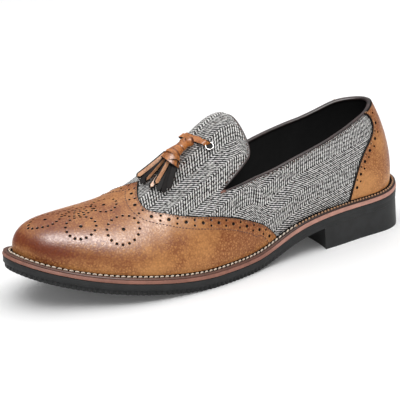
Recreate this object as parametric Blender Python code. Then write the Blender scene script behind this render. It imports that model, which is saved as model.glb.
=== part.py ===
"""Left brogue loafer: tweed vamp with a tall tongue flap, wing-shaped toe piece, heel counter and one tassel.

Tables are in millimetres, the scene is in metres. +X runs from heel to toe, +Y to the outer (lateral)
side and +Z up. The origin is on the floor under the middle of the sole's box. A point of the upper is
given by phi, the angle that sets its station from heel (0) to toe (pi), and by q, which runs from the
feather line, where the upper meets the welt (0), to the ridge over the foot (1).
"""

from math import pi, sqrt

import bmesh
import bpy
import numpy as np
from mathutils import Matrix

MM = 0.001
LATERAL, MEDIAL = 1, -1
GAP = 0.3                    # between pieces that meet
MERGE = 0.0001               # metres
NORMAL_Q = 0.97              # above this a point counts as on the ridge
SHARP_ANGLE = 0.6            # radians; edges that turn more stay sharp

# Sole
LENGTH = 304.0
HEEL_END_RADIUS = 33.0
TOE_END_RADIUS = 19.0
TOE_AXIS = -6.0              # how far the toe points inward
OUTSOLE = 7.0
WELT = 4.4
BACK_REACH, HEEL_REACH, WELT_REACH, TOE_REACH = 6.4, 4.4, 6.0, 7.8   # of the welt beyond the upper
BACK_GROWTH, HEEL_GROWTH, TOE_GROWTH = (0.0, 30.0), (50.0, 150.0), (262.0, 304.0)   # where the reach changes
WELT_WIDTH = 14.0
WELT_ROUND = 1.2
TREAD_LAYER = 3.2            # height of the inset layer along the forefoot's edge
TREAD_STEP, WAIST_STEP = 1.3, 0.2
STEP_FADES = (108.0, 150.0)  # waist's step behind, full step in front
HEEL_BREAST = 84.0
BREAST_HOLLOW = 5.0
BREAST_SPREAD = 12.0
UNDER_COLUMNS = 6            # across the underside
HEEL_TAPER = 0.985
HEEL_MIDDLE = 42.0
INSOLE = 3.0
INSOLE_CLEAR = 0.7

# Upper and what lies on it
WALL = 2.0
OVERLAY = 1.2
OVERLAY_GAP = 0.42
BINDING = 1.5
BINDING_PROUD = 0.5
MITRE_CLEAR = 11.0           # the binding bends this far from the slit's end
NOTCH_X = 165.0              # front end of the slit between topline and flap
FLAP_X = 134.0               # rearmost place of the flap's edge
FLAP_ROUND = 11.5            # how quickly the flap's edge turns up from the slit
FLAP_RETURN = 2.6            # the flap's middle lies this far ahead of FLAP_X
THROAT_X = 208.0             # where the wing's edge turns from the side to the throat
WING_TAIL_X = 124.0
TAIL_Q = 0.02                # the wing's tail ends this blunt
COUNTER_TOP = 0.988          # share of the topline's height that the counter reaches, under the binding
MIN_TURN = 0.04              # radians between the throat's station and the next

# Tassel and its lace
EYELET_X, EYELET_SIDE = 162.7, 14.0
EYELET_RING, EYELET_WIRE = 2.4, 0.4
LACE_X = 165.5
LACE_WIDTH, LACE_END_WIDTH, LACE_THICK = 5.5, 3.0, 1.2
LACE_LIFT = 1.3              # of its middle above the flap
KNOT_RADIUS, KNOT_WIDTH = 3.0, 10.0
CAP_START, CAP_LENGTH = 5.0, 15.0
CAP_TOP_LIFT, CAP_FOOT_LIFT = 4.0, 7.6
TASSEL_FALL = 0.83           # share of the tassel's line that runs forward
STRIP_WIDTH, STRIP_THICK = 4.2, 1.1
STRIP_ROOT = 0.7             # share of the cap's length where strips begin
STRIP_LAYER = 3.0            # strips above this lift bend over the others
MOUTH_SPREAD, MOUTH_RISE = 0.45, 0.7

COLUMNS = 40                 # stations from heel to toe
ROWS_BELOW, ROWS_ABOVE = 7, 8
FLAP_COLUMNS = 6
WING_ROWS, WING_TAIL_COLUMNS = 8, 12
COUNTER_COLUMNS, COUNTER_ROWS = 11, 12


def table(names, *rows):
    """Named columns of a short table."""
    return dict(zip(names.split(), np.array(rows, float).T))


# Half widths of the sole either side of its axis
PLAN = table(
    "share axis lateral medial",
    (0.06, 0.0, 28.0, 28.0),
    (0.14, 0.0, 31.5, 31.5),
    (0.26, 0.0, 35.5, 32.5),
    (0.38, 0.0, 38.0, 29.5),
    (0.50, 0.0, 45.5, 33.0),
    (0.60, 0.0, 50.5, 42.0),
    (0.70, 0.0, 50.0, 50.0),
    (0.80, -2.0, 45.5, 47.0),
    (0.90, -4.0, 32.5, 34.0),
    (0.96, -5.0, 22.5, 22.0),
)
# Floor to the underside of the outsole: heel seat, arch, flat forefoot, toe spring
SPRING = table(
    "share height",
    (0.00, 22.5),
    (0.10, 17.5),
    (0.24, 16.5),
    (0.36, 10.6),
    (0.46, 1.5),
    (0.53, 0.0),
    (0.60, 0.0),
    (0.68, 1.8),
    (0.78, 6.2),
    (0.88, 11.8),
    (1.00, 24.0),
)
# Height of the ridge over the foot. Behind the flap it only steers the quarters' lean.
RIDGE = table(
    "x height",
    (40.0, 112.0),
    (75.0, 113.0),
    (110.0, 109.0),
    (124.0, 101.0),
    (136.0, 97.2),
    (141.0, 100.2),
    (146.0, 100.6),
    (152.0, 98.9),
    (166.0, 89.8),
    (190.0, 74.5),
    (210.0, 63.0),
    (225.0, 57.0),
    (240.0, 54.0),
    (255.0, 52.5),
    (274.0, 51.5),
)
# From a station's feather point the wall starts up and out. It reaches the ridge, shift ahead, over crown.
SECTIONS = table(
    "share shift ridge up out crown inner_up inner_out inner_crown",
    (0.00, 42.0, 0.0, 30.0, 5.0, 18.0, 30.0, 5.0, 18.0),
    (0.10, 26.0, 0.0, 32.0, 3.0, 21.0, 32.0, 3.0, 21.0),
    (0.22, 14.0, -0.5, 34.0, 3.0, 22.0, 34.0, 3.0, 22.0),
    (0.35, 4.0, -1.0, 32.0, 3.0, 22.0, 36.0, 5.0, 22.0),
    (0.46, 0.0, -1.5, 30.0, 2.0, 21.0, 36.0, 5.0, 22.0),
    (0.56, 0.0, -2.0, 22.0, 3.0, 23.0, 28.0, 4.0, 22.0),
    (0.66, 0.0, -2.0, 18.0, 3.0, 26.0, 22.0, 3.0, 25.0),
    (0.76, -1.0, -1.0, 16.0, 3.0, 26.0, 17.0, 3.0, 26.0),
    (0.86, -5.0, 0.0, 15.0, 3.0, 24.0, 15.0, 3.0, 25.0),
    (0.93, -14.0, 0.0, 12.0, 2.5, 21.0, 12.0, 2.5, 21.0),
    (1.00, -31.0, 0.0, 9.0, 2.0, 18.0, 9.0, 2.0, 18.0),
)
TOPLINE = table(
    "x lateral medial",
    (14.0, 93.9, 93.9),
    (21.0, 92.4, 92.4),
    (24.0, 91.6, 91.85),
    (36.0, 87.2, 89.6),
    (50.0, 82.3, 84.5),
    (66.0, 77.4, 79.6),
    (79.0, 74.2, 76.6),
    (92.0, 71.0, 73.8),
    (103.0, 68.2, 71.2),
    (114.0, 65.1, 68.2),
    (124.0, 62.6, 65.4),
    (142.0, 59.7, 61.4),
    (152.0, 58.2, 59.4),
    (165.0, 57.2, 58.2),
)
WING_EDGE = table(
    "x height",
    (124.0, 18.2),
    (131.0, 25.6),
    (142.0, 32.6),
    (157.0, 38.9),
    (173.5, 43.4),
    (189.0, 45.9),
    (208.0, 50.3),
)
WING_THROAT = table(
    "rise x",
    (0.00, 208.0),
    (0.08, 211.8),
    (0.20, 216.0),
    (0.36, 217.8),
    (0.53, 217.3),
    (0.70, 215.2),
    (0.90, 211.0),
    (1.00, 208.6),
)
COUNTER_EDGE = table(
    "rise x",
    (0.00, 58.4),
    (0.15, 56.0),
    (0.30, 53.0),
    (0.50, 47.2),
    (0.62, 41.4),
    (0.69, 36.4),
    (0.75, 32.8),
    (0.81, 31.2),
    (0.88, 31.6),
    (0.95, 34.2),
    (1.00, 37.0),
)
# The lace's way out of an eyelet: away from its middle, above the flap, and share of the full width
LACE_CLIMB = table(
    "away lift share",
    (0.0, 1.4, 0.0),
    (0.2, 3.5, 0.1),
    (2.2, 3.1, 0.4),
    (3.6, 2.6, 0.8),
    (5.8, 1.4, 1.0),
)
TASSEL_LINE = table("x y", (172.0, 4.0), (177.0, 4.5), (191.0, 7.5), (208.0, 11.0))
# The bell cap's radius along its axis, from the knot down
CAP = table("along radius", (0.0, 2.4), (0.1, 3.4), (0.35, 4.6), (0.7, 6.0), (0.9, 6.8), (1.0, 6.4))
# Where each strip of the tassel ends: along and across its line, and above the vamp
STRIPS = table(
    "end across lift",
    (22.0, -8.0, 1.6),
    (24.5, -3.8, 1.4),
    (25.0, 0.6, 1.5),
    (24.0, 5.0, 1.4),
    (21.5, 8.6, 1.6),
    (23.0, -5.6, 4.2),
    (24.5, -1.4, 4.6),
    (23.5, 3.2, 4.4),
)


def batten(knots, values):
    """A natural cubic spline, bent as a draughtsman's batten through the given places."""
    knots, values = np.asarray(knots, float), np.asarray(values, float)
    gap, count = np.diff(knots), len(knots)
    system, pull = np.eye(count), np.zeros(count)
    for i in range(1, count - 1):
        system[i, i - 1:i + 2] = gap[i - 1], 2 * (gap[i - 1] + gap[i]), gap[i]
        pull[i] = 6 * ((values[i + 1] - values[i]) / gap[i] - (values[i] - values[i - 1]) / gap[i - 1])
    bend = np.linalg.solve(system, pull)

    def at(place):
        place = np.clip(place, knots[0], knots[-1])
        i = np.clip(np.searchsorted(knots, place) - 1, 0, count - 2)
        b = (place - knots[i]) / gap[i]
        a = 1 - b
        sag = ((a ** 3 - a) * bend[i] + (b ** 3 - b) * bend[i + 1]) * gap[i] ** 2 / 6
        return a * values[i] + b * values[i + 1] + sag

    return at


def smooth(share):
    return share * share * (3 - 2 * share)


def station(phi):
    return LENGTH / 2 * (1 - np.cos(phi))


def angle_at(x):
    return np.arccos(np.clip(1 - 2 * np.asarray(x, float) / LENGTH, -1, 1))


def fullness(side):
    """The outline's half width over a half circle's, with round ends of the given radii."""
    phi = angle_at(PLAN["share"] * LENGTH)
    half = PLAN["lateral" if side == LATERAL else "medial"] / (LENGTH / 2 * np.sin(phi))
    ends = sqrt(2 * HEEL_END_RADIUS / LENGTH), sqrt(2 * TOE_END_RADIUS / LENGTH)
    return batten([0, *phi, pi], [ends[0], *half, ends[1]])


FULL = {LATERAL: fullness(LATERAL), MEDIAL: fullness(MEDIAL)}
AXIS = batten([0, *PLAN["share"] * LENGTH, LENGTH], [0, *PLAN["axis"], TOE_AXIS])
TREAD = batten(SPRING["share"] * LENGTH, SPRING["height"])
RIDGE_HEIGHT = batten(RIDGE["x"], RIDGE["height"])
SECTION = {name: batten(SECTIONS["share"] * LENGTH, values) for name, values in SECTIONS.items()}
TOP = {LATERAL: batten(TOPLINE["x"], TOPLINE["lateral"]), MEDIAL: batten(TOPLINE["x"], TOPLINE["medial"])}
WING_HEIGHT = batten(WING_EDGE["x"], WING_EDGE["height"])
THROAT = batten(WING_THROAT["rise"], WING_THROAT["x"])
TASSEL_Y = batten(TASSEL_LINE["x"], TASSEL_LINE["y"])
COUNTER_X = batten(COUNTER_EDGE["rise"], COUNTER_EDGE["x"])
PHI = np.linspace(0, pi, COLUMNS + 1)


def outline(phi, side, inset=0.0):
    """Points of the sole's outline, moved in by inset, and the directions out of it."""
    phi = np.asarray(phi, float)

    def edge(angle):
        half = LENGTH / 2 * np.sin(angle) * FULL[side](angle)
        x = station(angle)
        return np.stack([x, AXIS(x) + side * half], -1)

    step = 0.001
    run = edge(np.minimum(phi + step, pi)) - edge(np.maximum(phi - step, 0))
    run[np.isclose(phi, 0)] = 0, side
    run[np.isclose(phi, pi)] = 0, -side
    run /= np.linalg.norm(run, axis=-1, keepdims=True)
    out = np.stack([-run[..., 1], run[..., 0]], -1) * side
    return edge(phi) - out * np.asarray(inset)[..., None], out


def tread_height(x):
    return np.maximum(TREAD(x), 0)


def welt_bottom(x):
    return tread_height(x) + OUTSOLE


def welt_top(x):
    return welt_bottom(x) + WELT


def growth(x, span):
    return smooth(np.clip((x - span[0]) / (span[1] - span[0]), 0, 1))


def reach(x):
    """How far the upper's foot stands in from the sole's outline."""
    width = BACK_REACH + (HEEL_REACH - BACK_REACH) * growth(x, BACK_GROWTH)
    width = width + (WELT_REACH - HEEL_REACH) * growth(x, HEEL_GROWTH)
    return width + (TOE_REACH - WELT_REACH) * growth(x, TOE_GROWTH)


def wall_point(phi, q, side):
    """The upper's outer face: a cubic curve from feather to ridge at each station."""
    phi, q = np.broadcast_arrays(np.asarray(phi, float), np.asarray(q, float))
    x = station(phi)
    part = {name: SECTION[name](x) for name in SECTION}
    up, out, crown = (part[name if side == LATERAL else "inner_" + name] for name in ("up", "out", "crown"))
    foot, away = outline(phi, side, reach(x))
    feather = np.concatenate([foot, (welt_top(foot[..., 0]) + GAP)[..., None]], -1)
    top_x = x + part["shift"]
    top = np.stack([top_x, AXIS(x) + part["ridge"], RIDGE_HEIGHT(top_x)], -1)
    slope = RIDGE_HEIGHT(top_x + 0.5) - RIDGE_HEIGHT(top_x - 0.5)
    down = foot - top[..., :2]
    down /= np.linalg.norm(down, axis=-1, keepdims=True)
    first = feather + np.concatenate([away * out[..., None], up[..., None]], -1)
    second = top + np.concatenate([down, (slope * down[..., 0])[..., None]], -1) * crown[..., None]
    q = q[..., None]
    p = 1 - q
    return p ** 3 * feather + 3 * p * p * q * first + 3 * p * q * q * second + q ** 3 * top


def side_normal(phi, q, side):
    step = 0.002
    q = np.minimum(q, NORMAL_Q)
    along = wall_point(np.minimum(phi + step, pi), q, side) - wall_point(np.maximum(phi - step, 0), q, side)
    rise = wall_point(phi, q + step, side) - wall_point(phi, np.maximum(q - step, 0), side)
    out = np.cross(rise, along) * side
    return out / np.linalg.norm(out, axis=-1, keepdims=True)


def wall_normal(phi, q, side):
    """The direction out of the upper, which both sides share on the ridge."""
    phi, q = np.broadcast_arrays(np.asarray(phi, float), np.asarray(q, float))
    own, other = side_normal(phi, q, side), side_normal(phi, q, -side)
    out = np.where((q > NORMAL_Q)[..., None], own + other, own)
    return out / np.linalg.norm(out, axis=-1, keepdims=True)


def surface(phi, q, side, lift=0.0):
    return wall_point(phi, q, side) + wall_normal(phi, q, side) * lift


def bisect(rises, low, high, like):
    """Where a rising function passes zero, for each entry of an array like the given one."""
    low, high = np.full(np.shape(like), low), np.full(np.shape(like), high)
    for _ in range(30):
        middle = (low + high) / 2
        over = rises(middle) > 0
        low, high = np.where(over, low, middle), np.where(over, middle, high)
    return (low + high) / 2


def q_at_height(phi, side, edge):
    """Where a station's wall passes the height that edge gives for its x."""

    def over(q):
        point = wall_point(phi, q, side)
        return point[..., 2] - edge(point[..., 0])

    return bisect(over, 0.0, NORMAL_Q, phi)


def topline_q(phi, side):
    return q_at_height(phi, side, TOP[side])


def notch(side):
    phi = float(angle_at(NOTCH_X))
    return phi, float(topline_q(phi, side))


def flap_angle(rise):
    """Station of the flap's edge, from the slit (rise 0) to the ridge (1)."""
    back = (NOTCH_X - FLAP_X) * (1 - (1 - rise) ** FLAP_ROUND)
    return angle_at(NOTCH_X - back + FLAP_RETURN * smooth(rise))


def place_on_wall(x, y):
    """The phi, q and side of the upper's point over x and y, where its stations stand square."""
    phi = float(angle_at(x))
    side = LATERAL if y > wall_point(phi, 1.0, LATERAL)[1] else MEDIAL
    q = bisect(lambda q: side * (y - wall_point(phi, q, side)[1]), 0.3, 1.0, phi)
    return phi, float(q), side


# Middle of the sole's box, which becomes the origin
EDGE_Y = [outline(np.linspace(0, pi, 721), side)[0][:, 1] for side in (LATERAL, MEDIAL)]
ORIGIN = np.array([LENGTH / 2, (EDGE_Y[0].max() + EDGE_Y[1].min()) / 2, 0.0])


def in_scene(points):
    return (np.asarray(points, float) - ORIGIN) * MM


def add_grid(mesh, points, flip=False):
    """Joins rows of points by faces."""
    rows = [[mesh.verts.new(point) for point in in_scene(row)] for row in points]
    for below, above in zip(rows, rows[1:]):
        for i in range(len(below) - 1):
            corners = [below[i], above[i], above[i + 1], below[i + 1]]
            mesh.faces.new(corners[::-1] if flip else corners)
    return rows


def ring(inset, height):
    """A closed loop on the sole's outline, moved in by inset, which may depend on x, at height(x)."""
    outer, away = outline(PHI, LATERAL)
    inner, back = outline(PHI[-2:0:-1], MEDIAL)
    flat, out = np.concatenate([outer, inner]), np.concatenate([away, back])
    depth = inset(flat[:, 0]) if callable(inset) else np.full(len(flat), inset)
    flat = flat - out * depth[:, None]
    return np.column_stack([flat, height(flat[:, 0])])


def add_rings(mesh, rings):
    """A wall through the rings, which are returned as vertices."""
    loops = [[mesh.verts.new(point) for point in in_scene(points)] for points in rings]
    for low, high in zip(loops, loops[1:]):
        for i in range(len(low)):
            mesh.faces.new([low[i - 1], low[i], high[i], high[i - 1]])
    return loops


def across(loop):
    """A ring's vertices in pairs, outer and inner, from heel to toe."""
    return [(loop[i], loop[-i]) for i in range(1, COLUMNS)]


def add_cap(mesh, loop):
    """Strips across a ring from its outer to its inner edge."""
    pairs = across(loop)
    mesh.faces.new([loop[0], *pairs[0]])
    mesh.faces.new([loop[COLUMNS], *pairs[-1]])
    for (a, b), (c, d) in zip(pairs, pairs[1:]):
        mesh.faces.new([a, b, d, c])


def merge(mesh):
    bmesh.ops.remove_doubles(mesh, verts=mesh.verts, dist=MERGE)


def material(name, colour, roughness, metallic=0.0):
    made = bpy.data.materials.new(name)
    made.use_nodes = True
    shader = made.node_tree.nodes["Principled BSDF"]
    shader.inputs["Base Color"].default_value = (*colour, 1)
    shader.inputs["Roughness"].default_value = roughness
    shader.inputs["Metallic"].default_value = metallic
    return made


def add_object(name, mesh, finish, closed=True):
    if closed:
        bmesh.ops.recalc_face_normals(mesh, faces=mesh.faces)
    data = bpy.data.meshes.new(name)
    mesh.to_mesh(data)
    mesh.free()
    data.materials.append(finish)
    data.shade_smooth()
    data.set_sharp_from_angle(angle=SHARP_ANGLE)
    made = bpy.data.objects.new(name, data)
    bpy.context.scene.collection.objects.link(made)
    return made


def thicken(shell, thickness):
    """Gives an outer face its wall, on the inside."""
    wall = shell.modifiers.new("wall", "SOLIDIFY")
    wall.thickness = thickness * MM
    wall.offset = -1


def step_inset(x):
    """How far the tread layer stands back: nothing at heel and waist, a step round the forefoot."""
    share = np.clip((x - STEP_FADES[0]) / (STEP_FADES[1] - STEP_FADES[0]), 0, 1)
    return WAIST_STEP + (TREAD_STEP - WAIST_STEP) * smooth(share)


def make_outsole(finish):
    """Moulded sole: stepped edge, arch and toe spring, with the heel drawn down from its rear underside."""
    mesh = bmesh.new()
    top, shelf = ring(0, welt_bottom), ring(0, lambda x: tread_height(x) + TREAD_LAYER)
    ledge, tread = ring(step_inset, lambda x: tread_height(x) + TREAD_LAYER), ring(step_inset, tread_height)
    loops = add_rings(mesh, [top, shelf, ledge, tread])
    add_cap(mesh, loops[0])
    bottom, count = loops[-1], UNDER_COLUMNS
    rows = [[bottom[0]] * (count + 1)]
    for outer, inner in across(bottom):
        row = [outer]
        for share in np.arange(1, count) / count:
            place = outer.co.lerp(inner.co, share)
            near = (place.x / MM + ORIGIN[0] - HEEL_BREAST) / BREAST_SPREAD
            place.x -= BREAST_HOLLOW * MM * (1 - (2 * share - 1) ** 2) * np.exp(-near * near)
            row.append(mesh.verts.new(place))
        rows.append(row + [inner])
    rows.append([bottom[COLUMNS]] * (count + 1))
    heel = []
    last_heel_row = int(angle_at(HEEL_BREAST) / PHI[1] + 0.5)
    for r, (behind, ahead) in enumerate(zip(rows, rows[1:])):
        for i in range(count):
            corners = dict.fromkeys([behind[i], behind[i + 1], ahead[i + 1], ahead[i]])
            face = mesh.faces.new(list(corners))
            if r < last_heel_row:
                heel.append(face)
    bmesh.ops.recalc_face_normals(mesh, faces=mesh.faces)
    drawn = bmesh.ops.extrude_face_region(mesh, geom=heel)["geom"]
    for vertex in (item for item in drawn if isinstance(item, bmesh.types.BMVert)):
        middle = (HEEL_MIDDLE - ORIGIN[0]) * MM
        vertex.co.x = middle + (vertex.co.x - middle) * HEEL_TAPER
        vertex.co.y *= HEEL_TAPER
        vertex.co.z = 0
    bmesh.ops.delete(mesh, geom=heel, context="FACES")
    add_object("outsole", mesh, finish)


def make_welt(finish):
    mesh = bmesh.new()
    low = ring(0, lambda x: welt_bottom(x) + GAP)
    edge = ring(0, lambda x: welt_top(x) - WELT_ROUND)
    top = ring(WELT_ROUND, welt_top)
    inner_top = ring(WELT_WIDTH, welt_top)
    inner_low = ring(WELT_WIDTH, lambda x: welt_bottom(x) + GAP)
    add_rings(mesh, [low, edge, top, inner_top, inner_low, low])
    merge(mesh)
    add_object("welt", mesh, finish)


def make_insole(finish):
    """Footbed: a flange over the welt's inner edge and a core that fills the welt's ring."""
    mesh = bmesh.new()
    core = WELT_WIDTH + GAP

    def flange(x):
        return reach(x) + WALL + INSOLE_CLEAR

    rings = [
        ring(core, lambda x: welt_bottom(x) + GAP),
        ring(core, lambda x: welt_top(x) + GAP),
        ring(flange, lambda x: welt_top(x) + GAP),
        ring(flange, lambda x: welt_top(x) + GAP + INSOLE),
    ]
    loops = add_rings(mesh, rings)
    add_cap(mesh, loops[0])
    add_cap(mesh, loops[-1])
    add_object("insole", mesh, finish)


def upper_rows(side):
    """The upper's rows: from heel to toe below the notch, from the flap's edge to the toe above it."""
    split_phi, split_q = notch(side)
    behind = np.linspace(0, split_phi, int(round(COLUMNS * split_phi / pi)) + 1)
    ahead = np.linspace(split_phi, pi, COLUMNS - len(behind) + 2)
    phi = np.concatenate([behind, ahead[1:]])
    meet = (split_q + notch(-side)[1]) / 2
    base = split_q + (meet - split_q) * smooth(np.linspace(0, 1, len(ahead)))
    top = np.append(topline_q(behind, side), base[1:])
    share = np.linspace(0, 1, ROWS_BELOW + 1)[:, None]
    below = np.broadcast_to(phi, (ROWS_BELOW + 1, len(phi))), share * top
    rise = np.linspace(0, 1, ROWS_ABOVE + 1) ** 1.5
    flap = np.array([np.linspace(flap_angle(r), split_phi, FLAP_COLUMNS, endpoint=False) for r in rise])
    above_phi = np.hstack([flap, np.broadcast_to(ahead, (len(rise), len(ahead)))])
    low = np.concatenate([np.full(FLAP_COLUMNS, split_q), base])
    return below, (above_phi, low + rise[:, None] * (1 - low))


def make_upper(finish):
    """Vamp, quarters and tongue flap: one wall, open at the collar and underneath."""
    mesh = bmesh.new()
    for side in (LATERAL, MEDIAL):
        for phi, q in upper_rows(side):
            add_grid(mesh, surface(phi, q, side), flip=side == MEDIAL)
    merge(mesh)
    thicken(add_object("upper", mesh, finish, closed=False), WALL)


def overlay_points(phi, q, side):
    """The outer face of leather laid on the upper, clear of the welt."""
    points = surface(phi, q, side, OVERLAY_GAP + OVERLAY)
    points[..., 2] = np.maximum(points[..., 2], welt_top(points[..., 0]) + GAP)
    return points


def wing_rows(side):
    """The wing's rows: along the side from its tail, then over the toe from the throat's edge."""
    tail, throat = angle_at(WING_TAIL_X), angle_at(THROAT_X)
    behind = np.linspace(tail, throat, WING_TAIL_COLUMNS)
    ahead = np.append(throat, PHI[PHI > throat + MIN_TURN])
    phi = np.concatenate([behind, ahead[1:]])
    edge = np.maximum(q_at_height(behind, side, WING_HEIGHT), TAIL_Q)
    top = np.append(edge, [edge[-1]] * (len(ahead) - 1))
    share = np.linspace(0, 1, WING_ROWS + 1)[:, None]
    below = np.broadcast_to(phi, (WING_ROWS + 1, len(phi))), share * top
    rise = np.linspace(0, 1, WING_ROWS + 1)
    above_phi = np.array([np.append(angle_at(THROAT(r)), ahead[1:]) for r in rise])
    above_q = np.broadcast_to((edge[-1] + rise * (1 - edge[-1]))[:, None], above_phi.shape)
    return below, (above_phi, above_q)


def make_wingtip(finish):
    mesh = bmesh.new()
    for side in (LATERAL, MEDIAL):
        for phi, q in wing_rows(side):
            add_grid(mesh, overlay_points(phi, q, side), flip=side == MEDIAL)
    merge(mesh)
    thicken(add_object("wingtip", mesh, finish, closed=False), OVERLAY)


def counter_rows(side):
    """The counter's rows, from the heel's back to its front edge, at even shares of the topline's height."""
    rise = np.linspace(0, 1, COUNTER_ROWS + 1)

    def past_edge(phi):
        return wall_point(phi, COUNTER_TOP * rise * topline_q(phi, side), side)[:, 0] - COUNTER_X(rise)

    phi = np.linspace(0, bisect(past_edge, 0.0, pi / 2, rise), COUNTER_COLUMNS + 1).T
    return phi, COUNTER_TOP * rise[:, None] * topline_q(phi, side)


def make_counter(finish):
    mesh = bmesh.new()
    for side in (LATERAL, MEDIAL):
        phi, q = counter_rows(side)
        add_grid(mesh, overlay_points(phi, q, side), flip=side == MEDIAL)
    merge(mesh)
    thicken(add_object("heel_counter", mesh, finish, closed=False), OVERLAY)


def collar_path(side):
    """Points and normals of the opening's edge, from the heel's back to the flap's middle."""
    (below_phi, below_q), (above_phi, above_q) = upper_rows(side)
    behind = int(np.argmin(np.abs(below_phi[-1] - notch(side)[0])))
    phi = np.concatenate([below_phi[-1, :behind], above_phi[:, 0]])
    q = np.concatenate([below_q[-1, :behind], above_q[:, 0]])
    points, normals = surface(phi, q, side), wall_normal(phi, q, side)
    far = np.linalg.norm(points - points[behind], axis=1) > MITRE_CLEAR
    far[behind] = True
    return points[far], normals[far]


def make_binding(finish):
    """A bead along the topline and the flap's edge, mitred in the two slits."""
    outer, inner = collar_path(LATERAL), collar_path(MEDIAL)
    points = np.concatenate([outer[0], inner[0][-2:0:-1]])
    normals = np.concatenate([outer[1], inner[1][-2:0:-1]])
    run = np.roll(points, -1, axis=0) - points
    run /= np.linalg.norm(run, axis=1, keepdims=True)
    before, after = np.cross(np.roll(run, 1, axis=0), normals), np.cross(run, normals)
    away = (before + after) / (1 + (before * after).sum(axis=1, keepdims=True))
    proud, depth = BINDING_PROUD, WALL + BINDING_PROUD
    corners = table(
        "out lift",
        (GAP, proud),
        (0.7 * BINDING, proud),
        (BINDING, 0.2 * proud),
        (BINDING, 0.2 * proud - WALL),
        (0.7 * BINDING, -depth),
        (GAP, -depth),
    )
    mesh = bmesh.new()
    loops = [points + away * out + normals * lift for out, lift in zip(corners["out"], corners["lift"])]
    add_rings(mesh, [*loops, loops[0]])
    merge(mesh)
    add_object("collar_binding", mesh, finish)


def wall_frame(phi, q, side):
    """A point of the upper with directions along the shoe, across it and out of it."""
    point, out = wall_point(phi, q, side), wall_normal(phi, q, side)
    along = np.array([1.0, 0.0, 0.0])
    along = along - out * (along @ out)
    along /= np.linalg.norm(along)
    return point, along, np.cross(out, along), out


def make_eyelet(name, y, finish):
    point, along, side, out = wall_frame(*place_on_wall(EYELET_X, y))
    middle = in_scene(point + out * (EYELET_WIRE + 2 * GAP))
    turn = Matrix([[*axis] for axis in (along, side, out)]).transposed().to_4x4()
    bpy.ops.mesh.primitive_torus_add(
        major_radius=EYELET_RING * MM,
        minor_radius=EYELET_WIRE * MM,
        major_segments=20,
        minor_segments=6,
        location=middle,
        rotation=turn.to_euler(),
    )
    made = bpy.context.object
    made.name = name
    made.data.name = name
    made.data.materials.append(finish)
    made.data.shade_smooth()


def eyelet_sides():
    """The two eyelets' places, the same way either side of the ridge."""
    middle = wall_point(angle_at(EYELET_X), 1.0, LATERAL)[1]
    return {"eyelet_lateral": EYELET_SIDE, "eyelet_medial": 2 * middle - EYELET_SIDE}


def sweep(mesh, points, widths, wide, thick):
    """A flat band along points: a six-sided section, as wide as given along the wide directions."""
    run = np.gradient(points, axis=0)
    high = np.cross(run, wide)
    high /= np.linalg.norm(high, axis=1, keepdims=True)
    flat = np.cross(high, run)
    flat /= np.linalg.norm(flat, axis=1, keepdims=True)
    section = ((-1, 0), (-0.8, 1), (0.8, 1), (1, 0), (0.8, -1), (-0.8, -1))
    half = np.asarray(widths)[:, None] / 2
    sides = [points + flat * half * a + high * thick / 2 * b for a, b in section]
    loops = [[mesh.verts.new(point) for point in in_scene(loop)] for loop in np.stack(sides, 1)]
    for low, high_loop in zip(loops, loops[1:]):
        for i in range(len(section)):
            mesh.faces.new([low[i - 1], low[i], high_loop[i], high_loop[i - 1]])
    mesh.faces.new(loops[0])
    mesh.faces.new(loops[-1])


def make_lace(finish):
    """A band out of one eyelet, over its rim and the flap's ridge, and down into the other."""
    middle_y = wall_point(angle_at(LACE_X), 1.0, LATERAL)[1]
    ends = []
    for y in eyelet_sides().values():
        toward = 1 if y < middle_y else -1
        x = EYELET_X + (LACE_X - EYELET_X) * LACE_CLIMB["share"]
        width = LACE_END_WIDTH + (LACE_WIDTH - LACE_END_WIDTH) * LACE_CLIMB["share"]
        ends.append(np.column_stack([x, y + toward * LACE_CLIMB["away"], LACE_CLIMB["lift"], width]))
    over_y = np.linspace(ends[0][-1, 1], ends[1][-1, 1], 9)[1:-1]
    over = [(LACE_X, y, LACE_LIFT, LACE_WIDTH) for y in over_y]
    points, wide, widths = [], [], []
    for x, y, lift, width in [*ends[0], *over, *ends[1][::-1]]:
        point, along, _, out = wall_frame(*place_on_wall(x, y))
        points.append(point + out * lift)
        wide.append(along)
        widths.append(width)
    mesh = bmesh.new()
    sweep(mesh, np.array(points), widths, np.array(wide), LACE_THICK)
    add_object("lace", mesh, finish)


def tassel_frame(along):
    """A frame on the vamp, along millimetres down the tassel's line from the knot."""
    x = TASSEL_LINE["x"][0] + along * TASSEL_FALL
    return wall_frame(*place_on_wall(x, float(TASSEL_Y(x))))


def turned(name, points, radii, sides, finish):
    """A closed round solid about a line of points."""
    run = points[-1] - points[0]
    run = run / np.linalg.norm(run)
    first = np.cross(run, [0.0, 0.0, 1.0])
    first /= np.linalg.norm(first)
    second = np.cross(run, first)
    turn = np.linspace(0, 2 * pi, sides, endpoint=False)[:, None]
    circle = first * np.cos(turn) + second * np.sin(turn)
    mesh = bmesh.new()
    loops = add_rings(mesh, [point + circle * radius for point, radius in zip(points, radii)])
    mesh.faces.new(loops[0])
    mesh.faces.new(loops[-1])
    return add_object(name, mesh, finish)


def make_knot(finish):
    """The roll that ties the tassel to its lace."""
    point, _, side, out = tassel_frame(0.0)
    middle = point + out * (KNOT_RADIUS + 2 * GAP)
    share = np.linspace(-1, 1, 9)
    points = middle + side * share[:, None] * KNOT_WIDTH / 2
    turned("knot", points, KNOT_RADIUS * np.sqrt(1 - 0.8 * share ** 4), 12, finish)


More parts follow.
